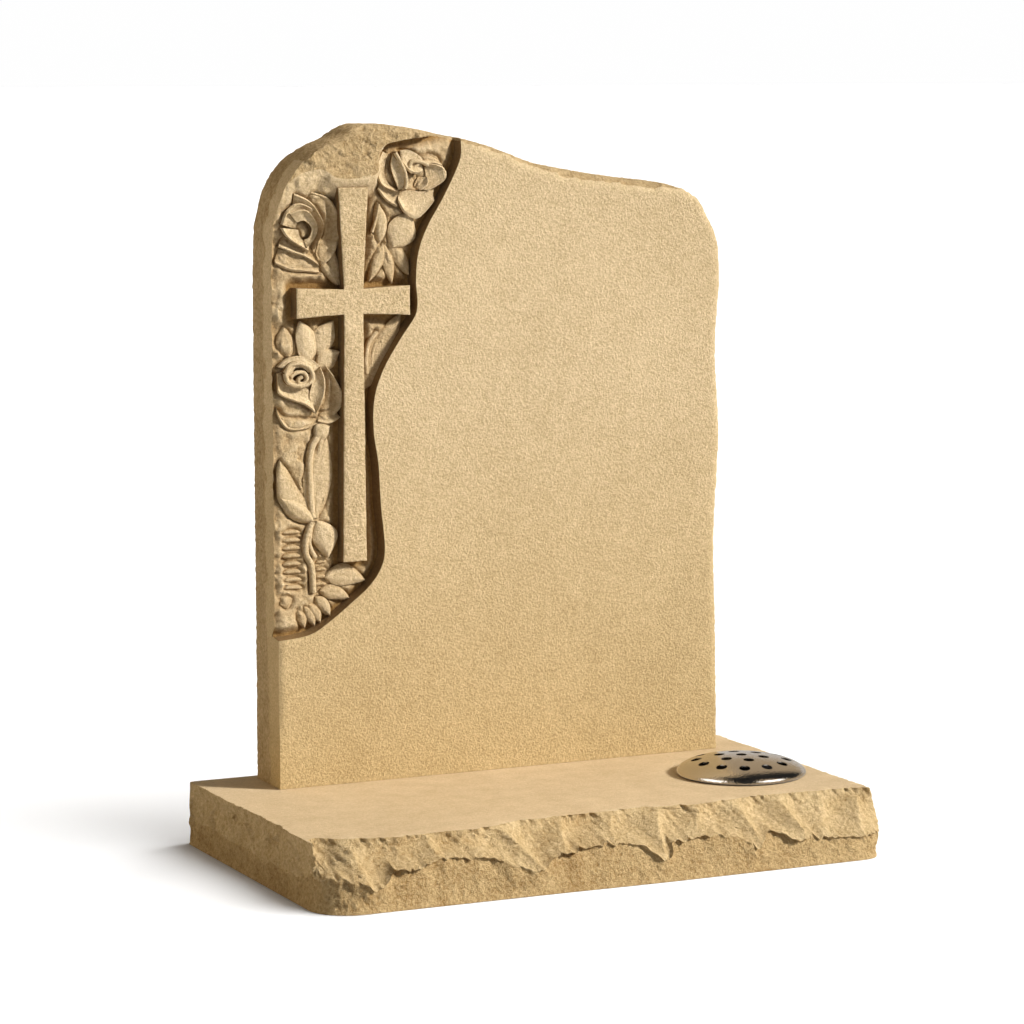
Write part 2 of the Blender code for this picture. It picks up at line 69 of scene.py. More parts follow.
# Scoops on the ends: spacing and depth as shares, half lengths and half heights, depth, and what the ends
# keep
SCOOP_SPACING = (0.45, 0.90)
SCOOP_SHARE = (0.45, 1.0)
SCOOP_SIZES = ((0.030, 0.085), (0.020, 0.046))
BASE_SCOOP = 0.010
BASE_END_SHARE = 0.60
BASE_END_ALLOWANCE = 0.0060

# Broken stone on the pitched sides: facets, streaks and grain as depth and size, and bites out of the top
# arris
BASE_FACET = 0.0050
BASE_FACET_SIZES = ((0.040, 0.026, 1.0), (0.013, 0.010, 1.0))
BASE_STREAK = 0.0019
END_STREAK_SIZE = (0.007, 0.060, 1.0)
SIDE_STREAK_SIZE = (0.0045, 0.020, 1.0)
BASE_GRAIN = 0.0011
BASE_GRAIN_SIZE = 0.0055
BASE_NIBBLE = 0.0075
BASE_NIBBLE_SIZE = 0.011
FOOT_BAND = 0.008

# The front's ledge: where the slope above it starts, its step, its raggedness and its lowest point
FRONT_BOLD = 0.030
LEDGE_STEP = 0.0095
LEDGE_RAG = 0.0045
LEDGE_RAG_SIZE = 0.009
LEDGE_LOWEST = 0.005
RIDGE_DEPTH = 0.0165
RIDGE_MIDDLE = 0.035

# Across the front in millimetres: how high the ledge runs, then how far the top arris and the foot stand
# back
LEDGE = (
    (-400, 38), (-352, 40), (-331, 36), (-313, 26), (-300, 31), (-288, 46), (-257, 44), (-238, 49),
    (-222, 52), (-162, 47), (-111, 28), (-98, 31), (-85, 41), (-46, 45), (-20, 48), (6, 47), (33, 43),
    (49, 31), (57, 24), (65, 27), (73, 43), (99, 44), (126, 47), (154, 44), (172, 36), (184, 25), (198, 42),
    (215, 43), (236, 31), (253, 34), (292, 30), (328, 28), (400, 30),
)
TOP_BACK = (
    (-380, 100), (-364, 86), (-340, 62), (-315, 50), (-270, 40), (-230, 44), (-205, 43), (-170, 39),
    (-137, 51), (-106, 61), (-83, 57), (-54, 61), (-2, 61), (25, 60), (54, 64), (102, 54), (126, 49),
    (156, 54), (187, 59), (217, 62), (269, 57), (322, 52), (368, 56), (380, 56),
)
FOOT_BACK = ((-380, 8), (-120, 5), (60, 0), (380, 0))
# Ridges between the front's scoops: where each leaves the top arris, where it meets the ledge, how low it
# is worn
RIDGES = (
    (-420, -400, 1), (-330, -322, 1), (-277, -272, 5), (-234, -226, 1), (-186, -172, 4), (-137, -106, 0),
    (-52, -70, 1), (14, -4, 3), (74, 57, 1), (126, 112, 3), (178, 188, 0), (238, 252, 0), (298, 282, 4),
    (356, 332, 2), (430, 420, 1),
)


# Hollows at seeded random places along a band: place, height share, half length, half height, depth.
def scoops(length, height, depth, sizes, seed):
    draw = random.Random(seed)
    places = []
    along = 0.0
    while along < length:
        half = draw.uniform(*sizes[0])
        places.append((along, draw.uniform(0.0, 1.0) * height, half, draw.uniform(*sizes[1]),
                       depth * draw.uniform(*SCOOP_SHARE)))
        along += half * draw.uniform(*SCOOP_SPACING)
    return places


def hollow(along, up, places):
    deepest = np.zeros(np.broadcast(along, up).shape)
    for place, height, half_length, half_height, depth in places:
        away = ((along - place) / half_length) ** 2 + ((up - height) / half_height) ** 2
        np.maximum(deepest, depth * (1.0 - away), out=deepest)
    return deepest


# Fractal noise between about -1 and 1 at points in metres.
def rough_at(points, size, octaves=3, shift=0.0):
    flat = np.asarray(points, dtype=float).reshape(-1, 3) / np.asarray(size) + shift
    values = [noise.fractal(point, 1.0, 2.0, octaves) for point in flat.tolist()]
    return np.array(values).reshape(np.asarray(points).shape[:-1])


# Broken stone: tilted facets of one size with sharp steps between them, from 0 to FACET_LIMIT.
FACET_TILT = 1.1
FACET_LEVEL = 0.3
FACET_MEAN = 0.35
FACET_LIMIT = 1.2


def facets(points, size):
    flat = (np.asarray(points, dtype=float).reshape(-1, 3) / np.asarray(size)).tolist()
    values = []
    for point in flat:
        point = Vector(point)
        centre = noise.voronoi(point)[1][0]
        tilt = noise.cell_vector(centre * 9.7)
        level = noise.cell(centre * 5.3)
        lean = (point - centre).dot(tilt - Vector((0.5, 0.5, 0.5)))
        values.append(FACET_MEAN + FACET_LEVEL * level + FACET_TILT * lean)
    return np.clip(np.array(values).reshape(np.asarray(points).shape[:-1]), 0.0, FACET_LIMIT)


# Outward unit normals of a closed loop in plan.
def outward(loop):
    run = np.roll(loop, -1, axis=0) - np.roll(loop, 1, axis=0)
    run /= np.linalg.norm(run, axis=1, keepdims=True)
    return np.stack([run[:, 1], -run[:, 0]], axis=1)


# How far along a path each of its points lies.
def lengths_along(path):
    return np.concatenate([[0.0], np.cumsum(np.linalg.norm(np.diff(path, axis=0), axis=1))])


# Turns a mesh's faces outward, after its points that lie closer together than the seam are joined.
def face_outward(mesh, seam=None):
    bm = bmesh.new()
    bm.from_mesh(mesh)
    if seam:
        bmesh.ops.remove_doubles(bm, verts=bm.verts[:], dist=seam)
    bmesh.ops.recalc_face_normals(bm, faces=bm.faces[:])
    bm.to_mesh(mesh)
    bm.free()


def add_mesh(name, points, faces, materials):
    mesh = bpy.data.meshes.new(name)
    mesh.from_pydata([tuple(point) for point in points], [], faces)
    mesh.validate()
    face_outward(mesh)
    for stuff in materials:
        mesh.materials.append(stuff)
    mesh.polygons.foreach_set("use_smooth", [True] * len(mesh.polygons))
    made = bpy.data.objects.new(name, mesh)
    bpy.context.scene.collection.objects.link(made)
    return made


# The finish of each face of a stone, its joined seams and its sharp arrises.
def finish_stone(made, finishes, sharp_angle):
    made.data.polygons.foreach_set("material_index", finishes)
    face_outward(made.data, SEAM)
    made.data.set_sharp_from_angle(angle=math.radians(sharp_angle))


SEAM = 0.00002


def base_plan(step):
    plan = []
    half_width, half_depth = BASE_WIDTH / 2, BASE_DEPTH / 2
    corners = (
        (-half_width, half_depth, BASE_BACK_RADIUS, 90),
        (-half_width, -half_depth, BASE_FRONT_RADIUS, 180),
        (half_width, -half_depth, BASE_FRONT_RADIUS, 270),
        (half_width, half_depth, BASE_BACK_RADIUS, 0),
    )
    for x, y, radius, start in corners:
        centre = (x - math.copysign(radius, x), y - math.copysign(radius, y))
        steps = max(2, round(radius * math.pi / 2 / step))
        for k in range(steps + 1):
            angle = math.radians(start + 90 * k / steps)
            plan.append((centre[0] + radius * math.cos(angle), centre[1] + radius * math.sin(angle)))
    dense = []
    for a, b in zip(plan, plan[1:] + plan[:1]):
        pieces = max(1, round(math.dist(a, b) / step))
        for k in range(pieces):
            dense.append((a[0] + (b[0] - a[0]) * k / pieces, a[1] + (b[1] - a[1]) * k / pieces))
    return np.array(dense)


# A value of one of the front's tables at x, in metres.
def across(table, x):
    return np.interp(x * 1000.0, *zip(*table)) / 1000.0


# How deep the scoops between the front's slanting ridges are at x, at a share of the way up from the ledge.
def between_ridges(x, share):
    x = np.broadcast_to(x * 1000.0, share.shape)
    shape = share.shape
    depth = np.zeros(shape)
    for (top, foot, worn), (next_top, next_foot, next_worn) in zip(RIDGES, RIDGES[1:]):
        start = foot + (top - foot) * share
        end = next_foot + (next_top - next_foot) * share
        u = (x - start) / (end - start)
        bowl = 1.0 - abs(2.0 * np.clip(u, 0.0, 1.0) ** 0.8 - 1.0) ** 1.7
        rest = (worn + (next_worn - worn) * u) / 5.0
        size = min(1.2, (next_top - top) / 60.0)
        depth = np.where((u >= 0.0) & (u < 1.0), size * (rest + (1.0 - 0.6 * rest) * bowl), depth)
    return depth


# The pitched sides as rows of points from the foot to the top arris, with the ledge between two rows.
def base_side():
    plan = base_plan(BASE_STEP)
    normals = outward(plan)
    along = lengths_along(plan)[None, :]
    x = plan[None, :, 0]
    facing_parts = (-normals[:, 1], -normals[:, 0], normals[:, 0])
    front, left, right = (np.maximum(0.0, part) for part in facing_parts)
    line = BASE_WIDTH / 2 - BASE_BACK_RADIUS - BASE_STEP / 2
    at_back = normals[:, 1] > 0.0
    left = np.where(at_back, plan[:, 0] < -line, left)[None, :]
    right = np.where(at_back, plan[:, 0] > line, right)[None, :]
    front = front[None, :]
    facing = np.clip(1.5 * front, 0.0, 1.0)
    wander = np.array([noise.noise((place * 14.0, 3.0, 7.0)) + 0.5 * noise.noise((place * 55.0, 9.0, 2.0))
                       for place in along[0]])[None, :]
    bold = BASE_HEIGHT * (BASE_BOLD + BASE_BOLD_SWING * wander * (1.0 - right) + RIGHT_BOLD_RISE * right)
    line_points = np.stack([along[0], 0.0 * along[0], 0.0 * along[0]], axis=-1)
    plain_ledge = bold + facing * (across(LEDGE, x) - bold)
    ledge = plain_ledge + LEDGE_RAG * rough_at(line_points, LEDGE_RAG_SIZE, 4)[None, :] * facing
    ledge = np.maximum(ledge, LEDGE_LOWEST)

    low = np.append(np.linspace(0.0, 0.90, LOW_ROWS - 1), 0.965)[:, None]
    high = np.linspace(0.0, 1.0, HIGH_ROWS)[:, None]
    height = np.vstack([low * ledge, ledge + high * (BASE_HEIGHT - ledge)])
    upper = np.vstack([np.zeros((LOW_ROWS, 1)), np.ones((HIGH_ROWS, 1))]) > 0.0
    climb = np.clip((height - ledge) / (BASE_HEIGHT - ledge), 0.0, 1.0)
    bands = np.stack(np.broadcast_arrays(along + 0.8 * height, height, 0.0 * along), axis=-1)
    nibble = np.clip(rough_at(bands * (1.0, 0.0, 0.0), BASE_NIBBLE_SIZE, 4), 0.0, 1.0)
    nibble = BASE_NIBBLE * nibble * climb ** 5

    def slope(z):
        share = np.clip((z - FRONT_BOLD) / (BASE_HEIGHT - FRONT_BOLD), 0.0, 1.0)
        return across(TOP_BACK, x) * share ** 1.25

    step = LEDGE_STEP * np.clip(0.7 + 1.2 * wander, 0.1, 1.6)
    foot = across(FOOT_BACK, x)
    under = foot + (slope(plain_ledge) + step - foot) * np.clip(height / plain_ledge, 0.0, 1.0) ** 1.4
    lean = np.clip((height - RIDGE_MIDDLE) / (BASE_HEIGHT - RIDGE_MIDDLE), -0.8, 1.0)
    scoop = RIDGE_DEPTH * between_ridges(x, lean) * (0.12 + 0.88 * np.sin(math.pi * climb ** 0.8))
    back = np.where(upper, slope(height) + scoop + nibble, under)

    length = 2 * (BASE_WIDTH + BASE_DEPTH)
    end = hollow(along, height, scoops(length, BASE_HEIGHT, BASE_SCOOP, SCOOP_SIZES, seed=22))
    end = end + 2.0 * BASE_STREAK * (1.0 + rough_at(bands, END_STREAK_SIZE, 3)) + nibble
    end = np.maximum(end - BASE_END_ALLOWANCE, 0.1 * end)
    end = (left + 0.5 * right) * BASE_END_SHARE * end * np.clip(height / bold, 0.0, 1.0)
    points = np.empty((LOW_ROWS + HIGH_ROWS, len(plan), 3))
    points[..., 0], points[..., 1], points[..., 2] = x, plan[None, :, 1], height
    large, small = BASE_FACET_SIZES
    broken = BASE_FACET * facets(bands, large) + 0.4 * BASE_FACET * facets(bands, small)
    broken = broken * np.where(upper, 0.35 + 0.65 * np.sin(math.pi * climb), 0.25)
    grain = BASE_GRAIN * (1.0 + rough_at(points, BASE_GRAIN_SIZE, 4))
    grain = grain + BASE_STREAK * (1.0 + rough_at(bands, SIDE_STREAK_SIZE, 3))
    sawn_back = normals[None, :, 1] >= 0.5
    fine = (broken + grain) * np.where(sawn_back, 0.0, 1.0) * np.clip(height / FOOT_BAND, 0.0, 1.0)
    chip = end + fine

    above = np.clip((height - bold) / (BASE_HEIGHT - bold), 0.0, 1.0)
    above = np.where(right > 0.0, above ** 2, above * (3.0 - above) / 2.0)
    below = np.clip((bold - height) / bold, 0.0, 1.0) ** 1.6
    points[..., 0] += left ** 2 * (LEFT_FALL[0] * above + LEFT_FALL[1] * below)
    points[..., 0] -= right ** 2 * (RIGHT_FALL[0] * above + RIGHT_FALL[1] * below) + RIGHT_BOW * right
    points[..., 0] -= normals[None, :, 0] * chip
    points[..., 1] += front ** np.where(x > 0.0, 1.5, 1.0) * back - normals[None, :, 1] * chip
    np.clip(points[..., 0], -BASE_WIDTH / 2, BASE_WIDTH / 2, out=points[..., 0])
    np.clip(points[..., 1], -BASE_DEPTH / 2, BASE_DEPTH / 2, out=points[..., 1])
    return points


# Triangles of a flat region: its outline and holes are loops in metres, spots are further points inside.
def flat_fill(loops, spots):
    points, edges = [], []
    for loop in loops:
        first = len(points)
        points += [Vector(point) * 1000.0 for point in loop]
        edges += [(first + k, first + (k + 1) % len(loop)) for k in range(len(loop))]
    points += [Vector(spot) * 1000.0 for spot in spots]
    corners, _, faces = geometry.delaunay_2d_cdt(points, edges, [], 0, 0.00001, False)[:3]
    corners = np.array(corners) / 1000.0
    faces = np.array(faces)
    middles = corners[faces].mean(axis=1)
    keep = inside(middles, loops[0])
    for hole in loops[1:]:
        keep &= ~inside(middles, hole)
    return corners, faces[keep].tolist()


def inside(points, loop):
    loop = np.asarray(loop)
    found = np.zeros(len(points), dtype=bool)
    for a, b in zip(loop, np.roll(loop, -1, axis=0)):
        if a[1] == b[1]:
            continue
        crosses = (a[1] > points[:, 1]) != (b[1] > points[:, 1])
        found ^= crosses & (points[:, 0] < (b[0] - a[0]) * (points[:, 1] - a[1]) / (b[1] - a[1]) + a[0])
    return found


# A grid of quads between rows of point numbers; closed rows join their last point to the first.
def strip_faces(first, rows, columns, closed):
    faces = []
    for i in range(rows - 1):
        for j in range(columns if closed else columns - 1):
            k = (j + 1) % columns
            a, b = first + i * columns, first + (i + 1) * columns
            faces.append((a + j, a + k, b + k, b + j))
    return faces


# The inputs of a node in a shader or geometry tree: each is a value, or the output of another node.
def set_inputs(tree, node, values):
    for socket, value in values.items():
        if isinstance(value, bpy.types.NodeSocket):
            tree.links.new(value, node.inputs[socket])
        else:
            node.inputs[socket].default_value = value


def add_node(tree, kind, values=None, **settings):
    node = tree.nodes.new(kind)
    for name, value in settings.items():
        setattr(node, name, value)
    set_inputs(tree, node, values or {})
    return node


def new_material(name):
    made = bpy.data.materials.new(name)
    made.use_nodes = True
    return made, made.node_tree, made.node_tree.nodes["Principled BSDF"]


# The colour sockets of a Mix node, which share their names with its other sockets
MIX_SHARE, MIX_FIRST, MIX_SECOND, MIX_RESULT = 0, 6, 7, 2


# Sandstone's tone and grain from Object coordinates: sand grain, pecked pits and slow clouds of colour.
def sandstone_group():
    group = bpy.data.node_groups.new("sandstone", 'ShaderNodeTree')
    face = group.interface
    face.new_socket("Vector", in_out='INPUT', socket_type='NodeSocketVector')
    for name in ("Light", "Dark"):
        face.new_socket(name, in_out='INPUT', socket_type='NodeSocketColor')
    for name in ("Pit Size", "Pit Depth", "Grain Depth", "Cloud"):
        face.new_socket(name, in_out='INPUT', socket_type='NodeSocketFloat')
    face.new_socket("Color", in_out='OUTPUT', socket_type='NodeSocketColor')
    face.new_socket("Height", in_out='OUTPUT', socket_type='NodeSocketFloat')
    given = add_node(group, 'NodeGroupInput').outputs

    def worked(operation, a, b):
        return add_node(group, 'ShaderNodeMath', {0: a, 1: b}, operation=operation).outputs[0]

    def pattern(scale, detail, roughness, distortion=0.0):
        return add_node(group, 'ShaderNodeTexNoise', {
            "Vector": given["Vector"], "Scale": scale, "Detail": detail, "Roughness": roughness,
            "Distortion": distortion}).outputs[0]

    pits = pattern(worked('DIVIDE', 1.0, given["Pit Size"]), 3.0, 0.6, 0.15)
    grain = pattern(SAND_SCALE, 3.0, 0.7)
    cloud = pattern(CLOUD_SCALE, 4.0, 0.6)
    mottle = pattern(MOTTLE_SCALE, 3.0, 0.6)
    height = worked('ADD', worked('MULTIPLY', pits, given["Pit Depth"]),
                    worked('MULTIPLY', grain, given["Grain Depth"]))
    slow = worked('ADD', worked('MULTIPLY', cloud, 0.55), worked('MULTIPLY', mottle, 0.45))
    slow = worked('MULTIPLY', worked('SUBTRACT', slow, 0.5), given["Cloud"])
    quick = worked('MULTIPLY', worked('SUBTRACT', pits, 0.5), worked('MULTIPLY', given["Pit Depth"], 1.1))
    fine = worked('SUBTRACT', grain, 0.5)
    share = worked('ADD', worked('ADD', worked('ADD', slow, quick), fine), 0.5)
    tone = add_node(group, 'ShaderNodeMix', {
        MIX_SHARE: share, MIX_FIRST: given["Dark"], MIX_SECOND: given["Light"]}, data_type='RGBA')
    add_node(group, 'NodeGroupOutput', {"Color": tone.outputs[MIX_RESULT], "Height": height})
    return group


SAND_SCALE = 900.0
MOTTLE_SCALE = 38.0
CLOUD_SCALE = 5.0
STONE_ROUGHNESS = 0.92
SANDSTONE = sandstone_group()


def sandstone(name, light, dark, pit_size, pit_depth, grain_depth, cloud, bump, shade=None):
    made, tree, shader = new_material(name)
    place = add_node(tree, 'ShaderNodeTexCoord').outputs["Object"]
    stone = add_node(tree, 'ShaderNodeGroup', {
        "Vector": place, "Light": light, "Dark": dark, "Pit Size": pit_size, "Pit Depth": pit_depth,
        "Grain Depth": grain_depth, "Cloud": cloud}, node_tree=SANDSTONE).outputs
    relief = add_node(tree, 'ShaderNodeBump', {"Distance": bump, "Height": stone["Height"]})
    colour = darker_along(tree, place, stone["Color"], *shade) if shade else stone["Color"]
    set_inputs(tree, shader, {
        "Base Color": colour, "Roughness": STONE_ROUGHNESS, "Specular IOR Level": 0.2,
        "Normal": relief.outputs["Normal"]})
    return made


# A second tone that comes in along one axis, from where it starts to where it is full.
def darker_along(tree, place, colour, axis, start, full, tone):
    parts = add_node(tree, 'ShaderNodeSeparateXYZ', {0: place})
    share = add_node(tree, 'ShaderNodeMapRange', {
        "Value": parts.outputs[axis], "From Min": start, "From Max": full})
    mix = add_node(tree, 'ShaderNodeMix', {
        MIX_SHARE: share.outputs["Result"], MIX_FIRST: colour, MIX_SECOND: tone},
        data_type='RGBA', blend_type='MULTIPLY')
    return mix.outputs[MIX_RESULT]


# Each finish: light and dark tones, the size and depth of its pits, its grain, its clouds and its relief
BASE_STONES = (
    sandstone("rubbed_sandstone", (0.77, 0.59, 0.37, 1), (0.46, 0.33, 0.17, 1),
              0.0040, 0.7, 0.9, 1.1, 0.0008),
    sandstone("pitched_sandstone", (0.82, 0.625, 0.345, 1), (0.42, 0.26, 0.098, 1),
              0.0044, 1.4, 0.9, 1.6, 0.0027),
    # The third is the pitched stone made darker and more saturated: painted shade for the lower rows, under
    # the ledge
    sandstone("shaded_lower_sandstone", (0.75, 0.545, 0.275, 1), (0.37, 0.215, 0.073, 1),
              0.0040, 1.6, 0.9, 1.6, 0.0032),
)
TOP, SIDE, SHADED_LOWER_ROWS = range(len(BASE_STONES))


# Points on a circle about the middle of the container.
def ring(radius, sides):
    turns = np.linspace(0.0, 2 * math.pi, sides, endpoint=False)
    return np.stack([CONTAINER_X + radius * np.cos(turns), CONTAINER_Y + radius * np.sin(turns)], axis=1)


def spot_grid(low, high, step):
    across_axis, up_axis = (np.arange(low[k], high[k], step) for k in (0, 1))
    return np.stack(np.meshgrid(across_axis, up_axis), axis=-1).reshape(-1, 2)


def build_base():
    side = base_side()
    rows, columns = side.shape[:2]
    points = [tuple(point) for point in side.reshape(-1, 3)]
    faces = strip_faces(0, rows, columns, closed=True)
    rough_faces = len(faces)
    bore = ring(BORE_RADIUS, BORE_SIDES)
    grid = spot_grid((-0.36, -0.20), (0.37, 0.21), 0.02)
    clear = np.hypot(grid[:, 0] - CONTAINER_X, grid[:, 1] - CONTAINER_Y) > BORE_RADIUS + BORE_MARGIN
    for level, height in ((-1, BASE_HEIGHT), (0, 0.0)):
        edge = side[level, :, :2]
        corners, cap = flat_fill([edge, bore], grid[inside(grid, edge * CAP_SHARE) & clear])
        first = len(points)
        points += [(x, y, height) for x, y in corners]
        faces += [tuple(first + k for k in face) for face in cap]
    first = len(points)
    for height in (0.0, BASE_HEIGHT):
        points += [(x, y, height) for x, y in bore]
    faces += strip_faces(first, 2, len(bore), closed=True)
    made = add_mesh("base_slab", points, faces, BASE_STONES)
    # The lower rows, from the foot up to the ledge, take the painted shade
    foot_faces = (LOW_ROWS - 1) * columns
    finishes = [SHADED_LOWER_ROWS] * foot_faces + [SIDE] * (rough_faces - foot_faces)
    finishes += [TOP] * (len(made.data.polygons) - rough_faces)
    finish_stone(made, finishes, 50)
    return made


BORE_SIDES = 64
BORE_MARGIN = 0.010
CAP_SHARE = 0.96
base = build_base()
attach(base, "root")
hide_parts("base")


# Headstone: an upright slab of the same sandstone with a finely pecked face and rough pitched edges. A
# panel is sunk in its left part and carved in relief with a cross, three roses, leaves, stems and a frond
# of short ribs.
HEADSTONE_WIDTH = 0.610
HEADSTONE_HEIGHT = 0.808
HEADSTONE_THICKNESS = 0.078
SLAB_LEFT = -0.292
SLAB_FACE = 0.127
SLAB_FOOT = 0.0768

# The face is measured in units of about a millimetre from its lower left corner, and depths behind it too
UNIT = HEADSTONE_HEIGHT / 808
BACK = HEADSTONE_THICKNESS / UNIT

# The pitched edges from front to back: how far they lie in, as shares, and then at the crest, right and left
EDGE_LEVELS = (0.0, 0.16, 0.45, 0.80, 1.0)
EDGE_SHARES = (1.0, 0.40, 0.0, 0.25, 0.85)
TOP_FALL = 0.014
RIGHT_EDGE_FALL = 0.005
LEFT_EDGE_FALL = 0.002

# Their mesh: the step along the outline, the rows from front to back, and a length added for the scoops
EDGE_STEP = 0.0032
EDGE_ROWS = 26
EDGE_RUN_ON = 0.024

# Their broken stone: scoops, flakes, facets and grain, how much of it the left and right edges have, and
# how far back the left edge is pecked
EDGE_SCOOP = 0.007
EDGE_FLAKE = 0.0022
FLAKE_SIZES = ((0.008, 0.026), (0.006, 0.018))
FLAKE_SEEDS = (31, 32)
EDGE_FACET = 0.0038
EDGE_FACET_SIZES = ((0.026, 0.016, 1.0), (0.009, 0.007, 1.0))
EDGE_GRAIN = 0.0009
LEFT_EDGE_SHARE = 0.60
RIGHT_EDGE_SHARE = 0.72
SMOOTH_SHARE = 0.40

# Broken stone stands this far out again at the crest, left and right, and its boldest parts keep the outline
EDGE_ALLOWANCE = (0.0085, 0.0048, 0.0145)
CREST = 0.8058

# The sunk panel: its depth and wall, the ground that rises between the carvings, and the moats round them
PANEL_DEPTH = 20.0
PANEL_WALL = 1.6
GROUND_RISE = 8.5
MOAT_DEPTH = 4.2
MOAT_REACH = 2.6

# The panel runs out into the crown at its upper left, above and left of these, over this length
BLURRED_RIGHT = 150.0
BLURRED_FOOT = 688.0
BLURRED_RUN = 34.0

# The chipped crown over the panel, left of and above these
CROWN_RIGHT = 262.0
CROWN_FOOT = 700.0

# Carved forms start this far behind the ground and stay this far right of the slab's left edge
CARVING_ROOT = 4.0
CARVING_LEFT = 4.5

# Shares of the width and the height, and then units
SLAB_OUTLINE = (
    (0.0, 0.0), (0.0, 0.41), (0.0, 0.79), (0.010, 0.868), (0.032, 0.915), (0.078, 0.954), (0.140, 0.979),
    (0.205, 1.0), (0.330, 0.990), (0.470, 0.966), (0.570, 0.940), (0.740, 0.917), (0.870, 0.905),
    (0.938, 0.884), (0.968, 0.851), (0.993, 0.811), (0.999, 0.743), (0.991, 0.640), (1.0, 0.500),
    (0.991, 0.345), (0.996, 0.170), (0.998, 0.0),
)
PANEL_RIM = (
    (-30, 180), (0, 183), (40, 188), (65, 201), (95, 223), (120, 243), (136, 265), (141, 290), (136, 343),
    (133, 393), (127, 433), (128, 473), (140, 508), (163, 545), (183, 573), (186, 593), (184, 613),
    (187, 648), (199, 680), (222, 718), (240, 753), (246, 773), (240, 796), (200, 790), (150, 782),
    (137, 768), (131, 745), (84, 741), (62, 752), (30, 744), (2, 720), (-30, 720),
)

# The cross: how far it stays behind the face, its middle, its reach up, down and sideways, and its half
# widths at the crossing and at its ends
CROSS_SETBACK = 1.0
CROSS_CENTRE = (102, 592)
CROSS_UP = 138
CROSS_DOWN = 318
CROSS_ARM = 75
CROSS_WAIST = 13
CROSS_FOOT = 16
CROSS_HEAD = 20
CROSS_ARM_WAIST = 15.5
CROSS_ARM_END = 18.5

# Rose petals, lowest first in each rose: the curve of their root, the curve of their lip, and both rises
PETALS = (
    (((10, 657), (30, 652), (48, 647), (62, 639)),
     ((3, 640), (24, 631), (44, 629), (62, 627)), 6, 9),
    (((62, 669), (60, 659), (58, 651), (62, 641)),
     ((86, 665), (82, 653), (74, 643), (64, 636)), 6, 11),
    (((42, 712), (58, 707), (68, 690), (70, 676), (64, 662)),
     ((52, 725), (74, 717), (86, 699), (90, 680), (86, 663)), 5, 11),
    (((16, 674), (28, 666), (42, 658), (54, 651)),
     ((8, 660), (25, 653), (43, 647), (61, 636)), 5, 12),
    (((29, 700), (45, 699), (57, 689), (61, 677), (53, 661)),
     ((28, 724), (48, 714), (62, 696), (66, 679), (52, 655)), 7, 14),
    (((31, 681), (33, 690), (42, 695), (52, 690)),
     ((11, 687), (18, 703), (34, 712), (53, 705)), 9, 13),
    (((34, 680), (36, 671), (42, 666), (49, 664)),
     ((10, 683), (17, 672), (30, 663), (46, 654)), 10, 15),
    (((32, 689), (41, 691), (50, 682), (47, 671), (41, 668)),
     ((21, 700), (41, 704), (55, 688), (55, 673), (43, 658)), 13, 17),
    (((144, 735), (154, 729), (169, 723)),
     ((138, 727), (148, 714), (163, 705)), 7, 12),
    (((168, 722), (179, 725), (196, 723), (214, 725)),
     ((164, 713), (172, 698), (190, 691), (212, 711)), 9, 15),
    (((153, 769), (148, 756), (148, 743), (154, 732), (167, 725)),
     ((144, 773), (137, 759), (137, 743), (144, 731), (165, 723)), 9, 13),
    (((201, 753), (203, 743), (201, 733), (193, 726)),
     ((202, 758), (224, 753), (228, 738), (206, 724)), 8, 14),
    (((196, 765), (208, 769), (220, 765)),
     ((200, 756), (212, 757), (226, 753)), 6, 11),
    (((188, 729), (190, 735), (194, 741)),
     ((195, 724), (204, 731), (205, 741)), 6, 12),
    (((158, 769), (155, 756), (159, 741), (166, 726)),
     ((162, 772), (170, 756), (175, 741), (174, 727)), 12, 17),
    (((168, 773), (178, 774), (190, 769), (198, 763)),
     ((170, 757), (176, 749), (185, 745), (196, 747)), 11, 17),
    (((9, 463), (12, 457), (28, 453), (47, 452), (62, 450)),
     ((3, 466), (9, 450), (19, 439), (38, 438), (58, 445)), 5, 10),
    (((62, 457), (72, 460), (84, 459)),
     ((58, 447), (72, 444), (88, 451)), 6, 11),
    (((65, 512), (69, 499), (70, 484), (67, 470), (61, 458)),
     ((67, 517), (81, 498), (90, 479), (88, 464), (79, 454)), 3, 12),
    (((17, 513), (26, 520), (41, 519), (53, 509)),
     ((5, 516), (19, 526), (43, 527), (62, 515)), 12, 10),
    (((18, 511), (17, 498), (27, 491), (42, 489), (50, 483)),
     ((-1, 506), (5, 484), (22, 475), (40, 468), (53, 458)), 9, 15),
    (((52, 507), (50, 493), (47, 480), (49, 470), (54, 461)),
     ((60, 514), (65, 500), (65, 484), (60, 470), (54, 458)), 10, 16),
    (((22, 504), (26, 514), (36, 514), (44, 508)),
     ((12, 503), (16, 518), (34, 521), (50, 509)), 15, 18),
    (((22, 508), (25, 499), (37, 497), (44, 506)),
     ((12, 507), (17, 494), (37, 490), (50, 505)), 14, 18),
)
